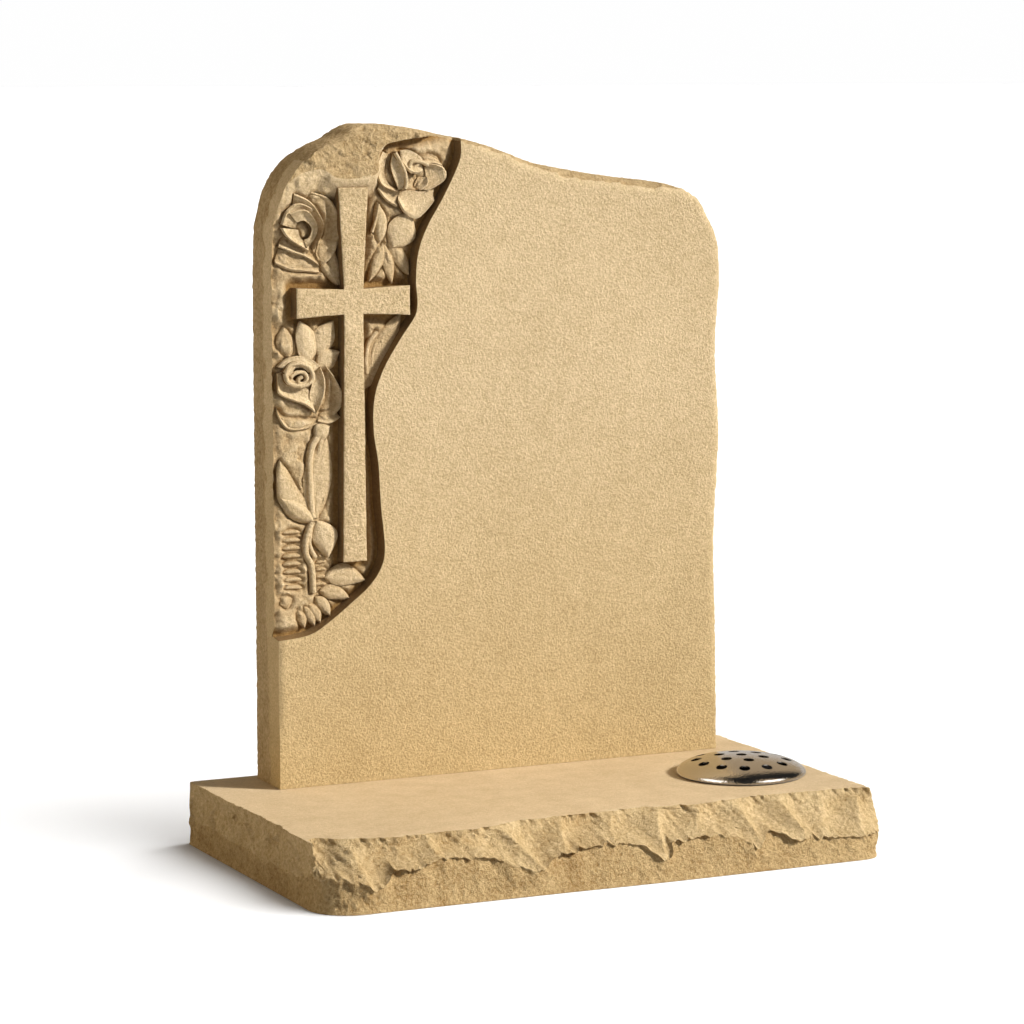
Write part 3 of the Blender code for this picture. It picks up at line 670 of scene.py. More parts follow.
# Leaves, sepals and buds: root, tip, width, sideways bend, rise
LEAVES = (
    ((64, 640), (86, 612), 12, 2, 9), ((79, 656), (89, 612), 13, -3, 8),
    ((141, 662), (138, 711), 16, -3, 11), ((158, 656), (182, 699), 36, -2, 12),
    ((146, 662), (127, 615), 13, 2, 9), ((148, 660), (158, 612), 15, 1, 8),
    ((154, 662), (181, 622), 17, 2, 8), ((47, 519), (36, 570), 28, -3, 12),
    ((22, 526), (15, 564), 20, 2, 8), ((60, 527), (80, 569), 27, 3, 10),
    ((58, 512), (88, 531), 24, 2, 10), ((139, 546), (168, 565), 9, 1, 8),
    ((54, 430), (73, 441), 20, 0, 13), ((50, 327), (8, 402), 30, 11, 11),
    ((51, 326), (8, 356), 20, 2, 14), ((54, 329), (70, 428), 36, 4, 10),
    ((55, 326), (70, 280), 30, 5, 13), ((66, 256), (120, 249), 25, 5, 10),
    ((60, 240), (99, 228), 17, 2, 9), ((54, 232), (73, 208), 14, 2, 9), ((46, 224), (61, 200), 12, 2, 8),
    ((39, 221), (53, 196), 11, 2, 8), ((31, 218), (40, 194), 11, 1, 7), ((8, 226), (24, 232), 16, 0, 7),
    ((121, 484), (170, 574), 32, 3, 7),
)
# Stems: their route, width and rise
STEMS = (
    (((124, 503), (123, 520), (127, 540), (138, 554)), 6, 8),
    (((131, 511), (132, 528), (137, 541)), 5, 7), (((61, 432), (50, 415), (47, 385), (50, 330)), 9, 11),
    (((64, 430), (59, 400), (55, 330)), 9, 9),
    (((50, 325), (42, 304), (42, 285), (49, 270), (51, 238)), 8, 11),
    (((49, 321), (46, 298), (54, 281)), 6, 10),
)
# Curled edges in the hearts of the roses: their route, width and rise
CURLS = (
    (((36, 503), (31, 500), (32, 495), (38, 495), (42, 501), (38, 508), (28, 508), (21, 503)), 4.5, 16),
    (((13, 508), (16, 498), (26, 493), (40, 493), (49, 501), (46, 512), (34, 519), (21, 518),
      (13, 508)), 5, 18),
    (((178, 753), (182, 760), (195, 759), (203, 755)), 4.5, 17),
    (((191, 757), (185, 752), (180, 746)), 4, 15),
    (((159, 771), (170, 752), (174, 736), (172, 727)), 4, 18),
    (((140, 709), (137, 693), (131, 675)), 3.5, 10),
)
# Rows of short ribs: first middle, middle's step, rib length and width, count, rise
RIB_ROWS = (((23, 314), (0.3, -9.7), 24, 6.5, 8, 8), ((63, 275), (-0.6, -9.0), 16, 5.5, 4, 7))

# Painted shade: the face grows darker towards its foot, and the sunk panel darker the deeper it lies behind
# the face
LOWER_FACE_PAINTED_SHADE = ("Z", 0.55, 0.10, (0.88, 0.84, 0.71, 1))
PANEL_SHADE = ("Y", SLAB_FACE + 0.010, SLAB_FACE + 0.020, (0.50, 0.37, 0.20, 1))
HEADSTONE_STONES = (
    sandstone("pecked_sandstone", (0.785, 0.61, 0.375, 1), (0.43, 0.31, 0.155, 1),
              0.0030, 1.35, 0.7, 0.7, 0.0015, shade=LOWER_FACE_PAINTED_SHADE),
    sandstone("carved_sandstone", (0.84, 0.66, 0.415, 1), (0.45, 0.315, 0.15, 1),
              0.0038, 1.2, 0.8, 1.2, 0.0018, shade=PANEL_SHADE),
    sandstone("broken_sandstone", (0.74, 0.55, 0.305, 1), (0.36, 0.225, 0.085, 1),
              0.0042, 1.5, 0.8, 1.6, 0.0030),
    # Painted shade for the panel's wall, the cross's sides and the undercut edges of the carvings
    sandstone("shaded_sandstone", (0.31, 0.19, 0.075, 1), (0.14, 0.075, 0.024, 1),
              0.0040, 0.8, 0.7, 0.9, 0.0012),
    sandstone("rubbed_cross_sandstone", (0.83, 0.64, 0.385, 1), (0.42, 0.29, 0.135, 1),
              0.0034, 1.6, 0.9, 1.3, 0.0018),
)
PECKED, CARVED, BROKEN, SHADED, RUBBED = range(len(HEADSTONE_STONES))


# A smooth curve through the points, with this many steps from each to the next.
def on_path(points, steps, closed=False):
    points = np.asarray(points, dtype=float)
    if closed:
        padded = np.concatenate([points[-1:], points, points[:2]])
        spans = len(points)
    else:
        padded = np.concatenate([points[:1], points, points[-1:]])
        spans = len(points) - 1
    path = []
    for i in range(spans):
        p, q, r, s = padded[i:i + 4]
        for t in np.arange(steps) / steps:
            path.append(0.5 * (2 * q + (r - p) * t + (2 * p - 5 * q + 4 * r - s) * t * t
                               + (3 * q - p - 3 * r + s) * t ** 3))
    return np.array(path if closed else path + [points[-1]])


def evenly_counted(path, count):
    lengths = lengths_along(path)
    goals = np.linspace(0.0, lengths[-1], count)
    return np.stack([np.interp(goals, lengths, path[:, k]) for k in range(path.shape[1])], axis=1)


def evenly(path, step):
    return evenly_counted(path, max(3, round(lengths_along(path)[-1] / step) + 1))


# Unit normals to the left of an open path, which is outward for the slab's outline.
def open_outward(path):
    run = np.gradient(path, axis=0)
    run /= np.linalg.norm(run, axis=1, keepdims=True)
    return np.stack([-run[:, 1], run[:, 0]], axis=1)


# A loop with its first point again at its end.
def joined(loop):
    return np.vstack([loop, loop[:1]])


# Distance from points to the nearest part of a path.
def distance(points, path):
    nearest = np.full(len(points), FAR)
    for a, b in zip(path, path[1:]):
        run = b - a
        t = np.clip(((points - a) @ run) / max(1e-12, run @ run), 0.0, 1.0)
        nearest = np.minimum(nearest, np.linalg.norm(points - a - t[:, None] * run, axis=1))
    return nearest


FAR = 1e9


# Triangles of a flat region that is measured in units.
def unit_fill(outline, spots):
    corners, faces = flat_fill([outline * 0.001], spots * 0.001)
    return corners * 1000.0, faces


def cross_outline():
    x, z = CROSS_CENTRE
    waist, arm = CROSS_WAIST, CROSS_ARM_WAIST
    return np.array([
        (x - CROSS_FOOT, z - CROSS_DOWN), (x + CROSS_FOOT, z - CROSS_DOWN), (x + waist, z - arm),
        (x + CROSS_ARM, z - CROSS_ARM_END), (x + CROSS_ARM, z + CROSS_ARM_END), (x + waist, z + arm),
        (x + CROSS_HEAD, z + CROSS_UP), (x - CROSS_HEAD, z + CROSS_UP), (x - waist, z + arm),
        (x - CROSS_ARM, z + CROSS_ARM_END), (x - CROSS_ARM, z - CROSS_ARM_END), (x - waist, z - arm),
    ], dtype=float)


# Depth of the panel's ground: it rises away from the walls and the cross, and is ragged at the left edge.
def ground_depth(x, spots, walls, lumps, fine):
    filled = np.clip((walls - 5.0) / 9.0, 0.0, 1.0)
    cut = rough_at(spots, 0.012, 2, shift=3.0)
    raised = GROUND_RISE - 2.4 * lumps - 2.6 * facets(spots, 0.019) + 1.4 * cut
    margin = np.clip((14.0 - x) / 10.0, 0.0, 1.0)
    ground = PANEL_DEPTH - filled * raised + 0.5 * fine
    return ground + 4.0 * margin ** 2 - margin * (2.6 * facets(spots, 0.012) + 1.5 * fine)


# Depth of the chips and the wear along the arris, which reach far down the face under the crown.
def wear_depth(x, z, spots, edge, lumps, fine):
    crown = np.clip((CROWN_RIGHT - x) / 60.0, 0.0, 1.0) * np.clip((z - CROWN_FOOT) / 10.0, 0.0, 1.0)
    reach = (9.0 + 37.0 * crown) * (1.0 + 0.35 * lumps)
    worn = np.clip(1.0 - edge / np.maximum(reach, 1.0), 0.0, 1.0)
    worn *= np.clip((z - 30.0) / 60.0, 0.0, 1.0)
    chipped = 3.4 * facets(spots, 0.024) + 1.6 * facets(spots, 0.009)
    chipped = chipped + 1.6 * np.clip(0.35 + lumps, 0.0, 2.0)
    broken = (2.2 + 0.8 * crown) * worn ** (2.0 - 0.5 * crown)
    broken = broken + crown * chipped * np.clip(3 * worn, 0.0, 1.0)
    broken = broken + (0.5 + 1.0 * crown) * np.clip(fine, -0.2, 1.0) * np.clip(2.5 * worn, 0.0, 1.0)
    return np.maximum(broken, 0.0)


# Depth of the stone's front behind the plane of the face at points on it, in units.
def front_depth(points, rim, outline):
    into = np.where(inside(points, rim), 1.0, -1.0) * distance(points, joined(rim))
    x, z = points[:, 0], points[:, 1]
    spots = np.stack([x, np.full(len(points), 0.0), z], axis=1) * 0.001
    lumps = rough_at(spots, 0.022, 3)
    fine = rough_at(spots, 0.006, 3, shift=11.0)
    blurred = np.clip((BLURRED_RIGHT - x) / 25.0, 0.0, 1.0) * np.clip((z - BLURRED_FOOT) / 30.0, 0.0, 1.0)
    panel = np.clip((into + 0.001) / (PANEL_WALL + BLURRED_RUN * blurred), 0.0, 1.0)
    panel = np.where(blurred > 0.0, panel * panel * (3.0 - 2.0 * panel), panel)
    walls = np.minimum(np.where(blurred > 0.5, 99.0, into), distance(points, joined(cross_outline())))
    ground = ground_depth(x, spots, walls, lumps, fine)
    return panel * ground + (1.0 - panel) * wear_depth(x, z, spots, distance(points, outline), lumps, fine)


# Points on the face and their depths behind it, as places in metres.
def placed(flat, depth):
    flat = np.asarray(flat, dtype=float)
    return np.stack([SLAB_LEFT + flat[..., 0] * UNIT, SLAB_FACE + np.asarray(depth) * UNIT,
                     SLAB_FOOT + flat[..., 1] * UNIT], axis=-1)


class Stone:
    """Points and faces of one mesh, gathered form by form, with a material number for each face."""

    def __init__(self):
        self.points, self.faces, self.kinds, self.moats = [], [], [], []

    def add(self, points, faces, kind):
        first = len(self.points)
        self.points += np.asarray(points).reshape(-1, 3).tolist()
        self.faces += [tuple(first + k for k in face) for face in faces]
        self.kinds += kind if isinstance(kind, list) else [kind] * len(faces)


# The slab's edges from the face's arris to the back's. Much of the left edge is pecked like the face.
def slab_edges(stone, rim):
    path = np.array([(x * HEADSTONE_WIDTH, z * HEADSTONE_HEIGHT) for x, z in SLAB_OUTLINE])
    path = evenly(on_path(path, 12), EDGE_STEP)
    normals = open_outward(path)
    along = lengths_along(path)[None, :]
    facing_parts = (normals[:, 1], -normals[:, 0], normals[:, 0])
    up, left, right = (np.maximum(0.0, part)[None, :] for part in facing_parts)
    level = np.linspace(0.0, 1.0, EDGE_ROWS)[:, None]
    depth = level * HEADSTONE_THICKNESS
    share = np.interp(level, EDGE_LEVELS, EDGE_SHARES)
    inset = share * (TOP_FALL * up ** 2 + LEFT_EDGE_FALL * left ** 2 + RIGHT_EDGE_FALL * right ** 2)
    rough = np.maximum(np.maximum(up, RIGHT_EDGE_SHARE * right), LEFT_EDGE_SHARE)
    length = len(path) * EDGE_STEP + EDGE_RUN_ON
    scooped = scoops(length, HEADSTONE_THICKNESS, EDGE_SCOOP, SCOOP_SIZES, seed=9)
    inset = inset + rough * hollow(along, depth, scooped)
    smooth_front = np.where(left > 0.7, np.clip((depth / HEADSTONE_THICKNESS - 0.35) / 0.2, 0.15, 1.0), 1.0)
    flakes = 0.0
    for seed in FLAKE_SEEDS:
        flaked = scoops(length, HEADSTONE_THICKNESS, EDGE_FLAKE, FLAKE_SIZES, seed=seed)
        flakes = flakes + hollow(along + 0.3 * depth, depth, flaked)
    points = np.empty((EDGE_ROWS, len(path), 3))
    points[..., 0], points[..., 1], points[..., 2] = path[None, :, 0], depth, path[None, :, 1]
    grain = EDGE_GRAIN * (1.0 + rough_at(points, 0.006, 4))
    bands = np.stack(np.broadcast_arrays(along + 0.4 * depth, depth, 0.0 * along), axis=-1)
    large, small = EDGE_FACET_SIZES
    flakes = flakes + EDGE_FACET * facets(bands, large) + 0.5 * EDGE_FACET * facets(bands, small)
    inset = inset + smooth_front * np.maximum(rough, 0.45) * flakes
    allowance = EDGE_ALLOWANCE[0] * up + EDGE_ALLOWANCE[1] * left + EDGE_ALLOWANCE[2] * right
    inset = np.maximum(inset - allowance, 0.15 * inset) + smooth_front * grain
    flat = path[None, :, :] - normals[None, :, :] * inset[..., None]
    flat[..., 1] = np.clip(flat[..., 1], 0.0, CREST)
    flat[:, (0, -1), 1] = 0.0
    flat = flat / UNIT
    arris = flat[0]
    start = front_depth(arris, rim, arris)
    depth = start[None, :] + (BACK - start[None, :]) * level
    ragged = rough_at(np.stack([path[:-1, 0], 0.0 * path[:-1, 0], path[:-1, 1]], axis=1), 0.035, 4)[None, :]
    front_half = (level[:-1] < SMOOTH_SHARE + 0.22 * ragged) & (left[:, :-1] > 0.7)
    kinds = np.where(front_half, PECKED, BROKEN).reshape(-1).tolist()
    stone.add(placed(flat, depth), strip_faces(0, EDGE_ROWS, len(path), closed=False), kinds)
    return arris, flat[-1]


# The face, the panel's wall and its ground, as one sheet inside the arris. Its mesh is fine in the panel,
# under the crown and along the arris.
def slab_front(stone, rim, arris):
    low, high = arris.min(axis=0), arris.max(axis=0)
    loop = joined(rim)
    draw = np.random.default_rng(3)

    def scattered(step, jitter):
        spots = spot_grid(low, high, step)
        return spots + draw.uniform(-jitter, jitter, spots.shape)

    def within(spots, gap):
        return spots[inside(spots, arris) & (distance(spots, arris) > gap)]

    coarse = within(scattered(11.0, 1.5), 6.0)
    coarse = coarse[~inside(coarse, rim) & (distance(coarse, loop) > 6.0)]
    fine = scattered(2.1, 0.4)
    sunk = inside(fine, rim)
    panel = within(fine[sunk], 1.2)
    panel = panel[distance(panel, loop) > PANEL_WALL + 1.2]
    band = fine[~sunk]
    crown = (band[:, 0] < CROWN_RIGHT) & (band[:, 1] > CROWN_FOOT)
    band = band[(distance(band, arris) < np.where(crown, 62.0, 11.0)) & (band[:, 1] > 30.0)]
    band = within(band, 1.2)
    band = band[distance(band, loop) > 1.2]
    edges = within(np.vstack([rim, rim + open_outward(rim) * (PANEL_WALL + 0.05)]), 0.6)
    corners, faces = unit_fill(arris, np.vstack([edges, coarse, panel, band]))
    depth = front_depth(corners, rim, arris)
    ground = inside(corners, rim) & (distance(corners, loop) > 0.5)
    near = np.full(ground.sum(), FAR)
    for moat in stone.moats:
        near = np.minimum(near, distance(corners[ground], moat))
    moated = depth[ground] + MOAT_DEPTH * np.exp(-(near / MOAT_REACH) ** 2)
    depth[ground] = np.minimum(moated, PANEL_DEPTH + 1.0)
    middles = corners[np.array(faces)].mean(axis=1)
    kinds = np.where(inside(middles, rim), CARVED, PECKED)
    wall = (kinds == CARVED) & (distance(middles, loop) < PANEL_WALL + 0.6)
    # The panel's wall takes painted shade, except where the panel runs out into the crown at the upper left
    kinds = np.where(wall & ((middles[:, 0] > 150) | (middles[:, 1] < 690)), SHADED, kinds)
    crowned = (middles[:, 0] < 225) & (middles[:, 1] > 700) & (distance(middles, arris) < 50)
    kinds = np.where(crowned & (kinds == PECKED), BROKEN, kinds)
    points = placed(corners, depth)
    for kind in (PECKED, CARVED, BROKEN, SHADED):
        chosen = [face for face, number in zip(faces, kinds) if number == kind]
        stone.add(points, chosen, kind)


# A carved form from rows of (x, z, rise). Its edges drop, slightly undercut, to behind the ground.
def carve(stone, rows, undercut=1.6, grain=0.35):
    rows = np.array(rows, dtype=float)
    rows[..., 0] = np.maximum(rows[..., 0], CARVING_LEFT)
    count, columns = rows.shape[:2]
    flat = placed(rows[..., :2], np.zeros(rows.shape[:2]))
    rows[..., 2] += grain * rough_at(flat, 0.007, 3, shift=5.0)
    middle = rows.mean(axis=1, keepdims=True)[..., :2]
    border = [(0, j) for j in range(columns)]
    border += [(i, columns - 1) for i in range(1, count)]
    border += [(count - 1, j) for j in range(columns - 2, -1, -1)]
    border += [(i, 0) for i in range(count - 2, 0, -1)]
    numbers = [i * columns + j for i, j in border]
    rim = np.array([rows[i, j] for i, j in border])
    towards = np.array([middle[i, 0] for i, j in border]) - rim[:, :2]
    size = np.linalg.norm(towards, axis=1, keepdims=True)
    towards = np.where(size > 0.5, towards / np.maximum(size, 1e-6), 0.0)
    shoulder = rim.copy()
    shoulder[:, :2] -= towards * 0.25
    shoulder[:, 2] = np.maximum(rim[:, 2] - 1.4, -CARVING_ROOT)
    foot = rim.copy()
    foot[:, :2] += towards * undercut
    foot[:, 2] = -CARVING_ROOT
    points = np.vstack([rows.reshape(-1, 3), shoulder, foot])
    faces = strip_faces(0, count, columns, closed=False)
    around = len(border)
    second, third = count * columns, count * columns + around
    for k in range(around):
        j = (k + 1) % around
        faces.append((numbers[k], numbers[j], second + j, second + k))
        faces.append((second + k, second + j, third + j, third + k))
    # The lower strip round each form's edge, down to its root, takes painted shade
    kinds = [CARVED] * (len(faces) - 2 * around) + [CARVED, SHADED] * around
    stone.add(placed(points[:, :2], PANEL_DEPTH - points[:, 2]), faces, kinds)
    stone.moats.append(joined(rim[:, :2])[::2])


# A petal: a sheet that sags between its root and its lip and curls over at the lip.
def petal_rows(root, lip, low, high, number):
    inner, outer = (evenly_counted(on_path(curve, 8), 22) for curve in (root, lip))
    t = np.linspace(0.0, 1.0, 22)[:, None]
    s = np.linspace(0.0, 1.0, 12)[None, :]
    flat = inner[:, None, :] + (outer - inner)[:, None, :] * s[..., None]
    rise = low + (high - low) * s ** 1.5 - 0.12 * (high - low + 6.0) * np.sin(math.pi * s)
    rise = rise + 0.8 * np.exp(-((s - 0.88) / 0.08) ** 2) - 1.8 * np.clip((s - 0.9) / 0.1, 0, 1) ** 2
    rise = rise - 1.6 * abs(2.0 * t - 1.0) ** 6 + 0.4 * np.sin(2 * math.pi * t + 1.7 * number) * s
    return np.concatenate([flat, np.minimum(rise, PANEL_DEPTH - 0.5)[..., None]], axis=-1)


# A leaf: pointed and bent sideways, with a groove for its midrib.
def leaf_rows(root, tip, width, bend, rise, number):
    start, end = np.array(root, dtype=float), np.array(tip, dtype=float)
    run = end - start
    length = np.linalg.norm(run)
    side = np.array([-run[1], run[0]]) / length
    t = np.linspace(0.0, 1.0, 15)[:, None]
    u = np.linspace(1.0, -1.0, 9)[None, :]
    middle_x = start[0] + run[0] * t + side[0] * bend * np.sin(math.pi * t)
    middle_z = start[1] + run[1] * t + side[1] * bend * np.sin(math.pi * t)
    half = 0.6 + (width / 2) * np.sin(math.pi * t ** 0.85) ** 0.8
    half = half * (1.0 + 0.05 * np.sin(9.0 * t + number))
    height = 0.66 + 0.34 * (1.0 - abs(u) ** 1.6) + 0.10 * u * math.sin(number * 2.1)
    height = height - 0.13 * np.exp(-(u / 0.16) ** 2) * np.sin(math.pi * np.clip(t * 1.1, 0, 1))
    high = rise * height * (0.80 + 0.20 * np.sin(math.pi * t))
    x, z = middle_x + side[0] * half * u, middle_z + side[1] * half * u
    return np.stack(np.broadcast_arrays(x, z, high), axis=-1)


def stem_rows(route, width, rise, samples=6):
    path = on_path(route, samples)
    normals = open_outward(path)
    turns = np.linspace(0.0, math.pi, 7)
    rows = []
    for point, normal in zip(path, normals):
        rows.append([
            (*(point + normal * width / 2 * math.cos(turn)), rise - width * 0.5 * (1.0 - math.sin(turn)))
            for turn in turns
        ])
    return rows


def rib_rows(middle, length, width, rise):
    t = np.linspace(-1.0, 1.0, 9)[:, None]
    u = np.linspace(-1.0, 1.0, 7)[None, :]
    x = middle[0] + t * length / 2
    z = middle[1] + u * width / 2 * np.sqrt(np.clip(1.06 - t ** 4, 0, 1)) - 1.2 * t ** 2
    high = rise * (0.35 + 0.65 * np.sqrt(np.clip(1.0 - u ** 2, 0, 1))) * (1.0 - 0.3 * t ** 4)
    return np.stack(np.broadcast_arrays(x, z, high), axis=-1)


# The cross stands up nearly to the face, with a worn arris and a few shallow dips in its front.
def cross_form(stone):
    outline = cross_outline()
    closed = joined(outline)
    loop = np.vstack([evenly(closed[k:k + 2], 4.0)[:-1] for k in range(len(outline))])
    inward = -outward(loop)
    wobble = 0.35 * rough_at(placed(loop, np.zeros(len(loop))), 0.012, 2)
    loop = loop + inward * (wobble[:, None] + 0.35)
    rings = ((0.0, PANEL_DEPTH + CARVING_ROOT), (0.0, CROSS_SETBACK + 1.0), (0.35, CROSS_SETBACK + 0.35),
             (1.1, CROSS_SETBACK))
    points = [placed(loop + inward * move, np.full(len(loop), depth)) for move, depth in rings]
    # The cross's side wall down to the ground takes painted shade; its worn arris and front are rubbed stone
    stone.add(np.vstack(points), strip_faces(0, len(rings), len(loop), closed=True),
              [SHADED] * len(loop) + [RUBBED] * (2 * len(loop)))
    top = loop + inward * rings[-1][0]
    spots = spot_grid((20.0, 270.0), (180.0, 735.0), 5.0)
    spots = spots[inside(spots, top)]
    corners, faces = unit_fill(top, spots[distance(spots, joined(top)) > 2.5])
    dips = 0.35 * np.clip(rough_at(placed(corners, np.zeros(len(corners))), 0.02, 2), 0, 1)
    dips *= np.clip(distance(corners, joined(top)) / 3.0, 0.0, 1.0)
    stone.add(placed(corners, CROSS_SETBACK + dips), faces, RUBBED)


def build_headstone():
    stone = Stone()
    rim = on_path(PANEL_RIM, 7, closed=True)
    rim = evenly(joined(rim), 2.6)[:-1]
    arris, back = slab_edges(stone, rim)
    corners, faces = unit_fill(back, np.zeros((0, 2)))
    stone.add(placed(corners, np.full(len(corners), BACK)), faces, BROKEN)
    underside = placed([arris[0], arris[-1], back[-1], back[0]], (0.0, 0.0, BACK, BACK))
    stone.add(underside, [(0, 1, 2, 3)], BROKEN)
    cross_form(stone)
    for number, petal in enumerate(PETALS):
        carve(stone, petal_rows(*petal, number), undercut=2.4)
    for number, leaf in enumerate(LEAVES):
        carve(stone, leaf_rows(*leaf, number))
    for stem in STEMS + CURLS:
        carve(stone, stem_rows(*stem), undercut=0.0)
    for first, step, length, width, count, rise in RIB_ROWS:
        for k in range(count):
            middle = (first[0] + step[0] * k, first[1] + step[1] * k)
            carve(stone, rib_rows(middle, length, width, rise), undercut=0.0)
    slab_front(stone, rim, arris)
    made = add_mesh("headstone_slab", stone.points, stone.faces, HEADSTONE_STONES)
    finish_stone(made, stone.kinds, 52)
    return made


headstone = build_headstone()
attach(headstone, "root")
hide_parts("headstone")


# Flower container: a cup spun from thin aluminium and left dull. It stands in the base's bored hole, where
# it hangs by its flange and lifts out.
def metal(name, colour, roughness, grain, bump):
    made, tree, shader = new_material(name)
    place = add_node(tree, 'ShaderNodeTexCoord').outputs["Object"]
    cloud = add_node(tree, 'ShaderNodeTexNoise', {"Vector": place, "Scale": grain, "Detail": 3.0})
    cloud = cloud.outputs[0]
    rubbed = add_node(tree, 'ShaderNodeMapRange', {
        "Value": cloud, "To Min": roughness * 0.75, "To Max": roughness * 1.25})
    relief = add_node(tree, 'ShaderNodeBump', {"Distance": bump, "Height": cloud})
    set_inputs(tree, shader, {
        "Metallic": 1.0, "Base Color": colour, "Roughness": rubbed.outputs["Result"],
        "Normal": relief.outputs["Normal"]})
    return made


ALUMINIUM = metal("dull_aluminium", (0.20, 0.20, 0.21, 1), 0.5, 60.0, 0.0002)
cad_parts["flower_container"].data.materials.clear()
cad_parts["flower_container"].data.materials.append(ALUMINIUM)


# Lid: a polished chrome dome, pressed from sheet and punched with rings of round stem holes, that lifts
# off. A short collar under it stands in the mouth of the container.
LID_RADIUS = 0.081
LID_RISE = 0.0220
LID_FOOT = 0.0786
LID_WALL = 0.0015
LID_COLLAR = 0.0655
LID_COLLAR_DEPTH = 0.010
LID_SIDES = 96
LID_STEPS = (22, 18)
STEM_HOLE_RADIUS = 0.0068
STEM_HOLE_SIDES = 28
# Rings of stem holes: how many holes, the ring's radius and its turn in degrees
STEM_HOLE_RINGS = ((1, 0.0, 0.0), (6, 0.028, 20.0), (12, 0.056, 5.0))
CHROME = metal("polished_chrome", (0.60, 0.56, 0.51, 1), 0.10, 420.0, 0.00035)


def dome(radius, rise, steps, last):
    angles = [math.radians(90 - (90 - last) * k / steps) for k in range(steps + 1)]
    return [(radius * math.cos(angle), LID_FOOT + rise * math.sin(angle)) for angle in angles]


# A body turned about the container's axis, from a section of (radius, height) between two points on it.
def turned(name, section, sides, stuff):
    rings = [[(x, y, height) for x, y in ring(radius, sides)] for radius, height in section[1:-1]]
    points = [point for level in rings for point in level]
    faces = strip_faces(0, len(rings), sides, closed=True)
    top, bottom = len(points), len(points) + 1
    points += [(CONTAINER_X, CONTAINER_Y, section[0][1]), (CONTAINER_X, CONTAINER_Y, section[-1][1])]
    last = (len(rings) - 1) * sides
    for k in range(sides):
        faces.append((top, k, (k + 1) % sides))
        faces.append((bottom, last + (k + 1) % sides, last + k))
    return add_mesh(name, points, faces, (stuff,))


# Geometry Nodes: drills stand on rings round the lid's middle and are cut out of it.
def punch_tree():
    tree = bpy.data.node_groups.new("punched_holes", 'GeometryNodeTree')
    face = tree.interface
    face.new_socket("Geometry", in_out='INPUT', socket_type='NodeSocketGeometry')
    inputs = {
        "Hole Radius": ('NodeSocketFloat', STEM_HOLE_RADIUS),
        "Middle": ('NodeSocketVector', (0.0, 0.0, 0.0)),
        "Depth": ('NodeSocketFloat', 4 * LID_RISE),
    }
    for number, (count, radius, turn) in enumerate(STEM_HOLE_RINGS):
        inputs[f"Count {number}"] = ('NodeSocketInt', count)
        inputs[f"Ring Radius {number}"] = ('NodeSocketFloat', radius)
        inputs[f"Turn {number}"] = ('NodeSocketFloat', math.radians(turn))
    for name, (kind, value) in inputs.items():
        face.new_socket(name, in_out='INPUT', socket_type=kind).default_value = value
    face.new_socket("Material", in_out='INPUT', socket_type='NodeSocketMaterial')
    face.new_socket("Geometry", in_out='OUTPUT', socket_type='NodeSocketGeometry')
    given = add_node(tree, 'NodeGroupInput').outputs
    drill = add_node(tree, 'GeometryNodeMeshCylinder', {
        "Vertices": STEM_HOLE_SIDES, "Radius": given["Hole Radius"], "Depth": given["Depth"]})
    drills = add_node(tree, 'GeometryNodeJoinGeometry')
    for number in range(len(STEM_HOLE_RINGS)):
        holes = given[f"Count {number}"]
        circle = add_node(tree, 'GeometryNodeMeshCircle', {
            "Vertices": holes, "Radius": given[f"Ring Radius {number}"]}, fill_type='NONE')
        many = add_node(tree, 'FunctionNodeCompare', {
            2: holes, 3: 2}, data_type='INT', operation='GREATER_THAN')
        single = add_node(tree, 'GeometryNodeMeshLine', {"Count": 1})
        which = add_node(tree, 'GeometryNodeSwitch', {
            0: many.outputs[0], 1: single.outputs[0], 2: circle.outputs[0]}, input_type='GEOMETRY')
        turn = add_node(tree, 'ShaderNodeCombineXYZ', {"Z": given[f"Turn {number}"]})
        set_round = add_node(tree, 'GeometryNodeTransform', {
            "Geometry": which.outputs[0], "Rotation": turn.outputs[0], "Translation": given["Middle"]})
        stand = add_node(tree, 'GeometryNodeInstanceOnPoints', {
            "Points": set_round.outputs[0], "Instance": drill.outputs["Mesh"]})
        set_inputs(tree, drills, {0: stand.outputs[0]})
    real = add_node(tree, 'GeometryNodeRealizeInstances', {0: drills.outputs[0]})
    cut = add_node(tree, 'GeometryNodeMeshBoolean', {
        0: given["Geometry"], 1: real.outputs[0]}, operation='DIFFERENCE', solver='EXACT')
    whole = add_node(tree, 'GeometryNodeRealizeInstances', {0: cut.outputs[0]})
    finish = add_node(tree, 'GeometryNodeSetMaterial', {
        "Geometry": whole.outputs[0], "Material": given["Material"]})
    add_node(tree, 'NodeGroupOutput', {0: finish.outputs[0]})
    return tree


def grown(source, tree, settings):
    modifier = source.modifiers.new(tree.name, 'NODES')
    modifier.node_group = tree
    for item in tree.interface.items_tree:
        if item.in_out == 'INPUT' and item.name in settings:
            modifier[item.identifier] = settings[item.name]
    bpy.context.view_layer.update()
    mesh = bpy.data.meshes.new_from_object(source.evaluated_get(bpy.context.evaluated_depsgraph_get()))
    source.modifiers.remove(modifier)
    source.data = mesh
    return source


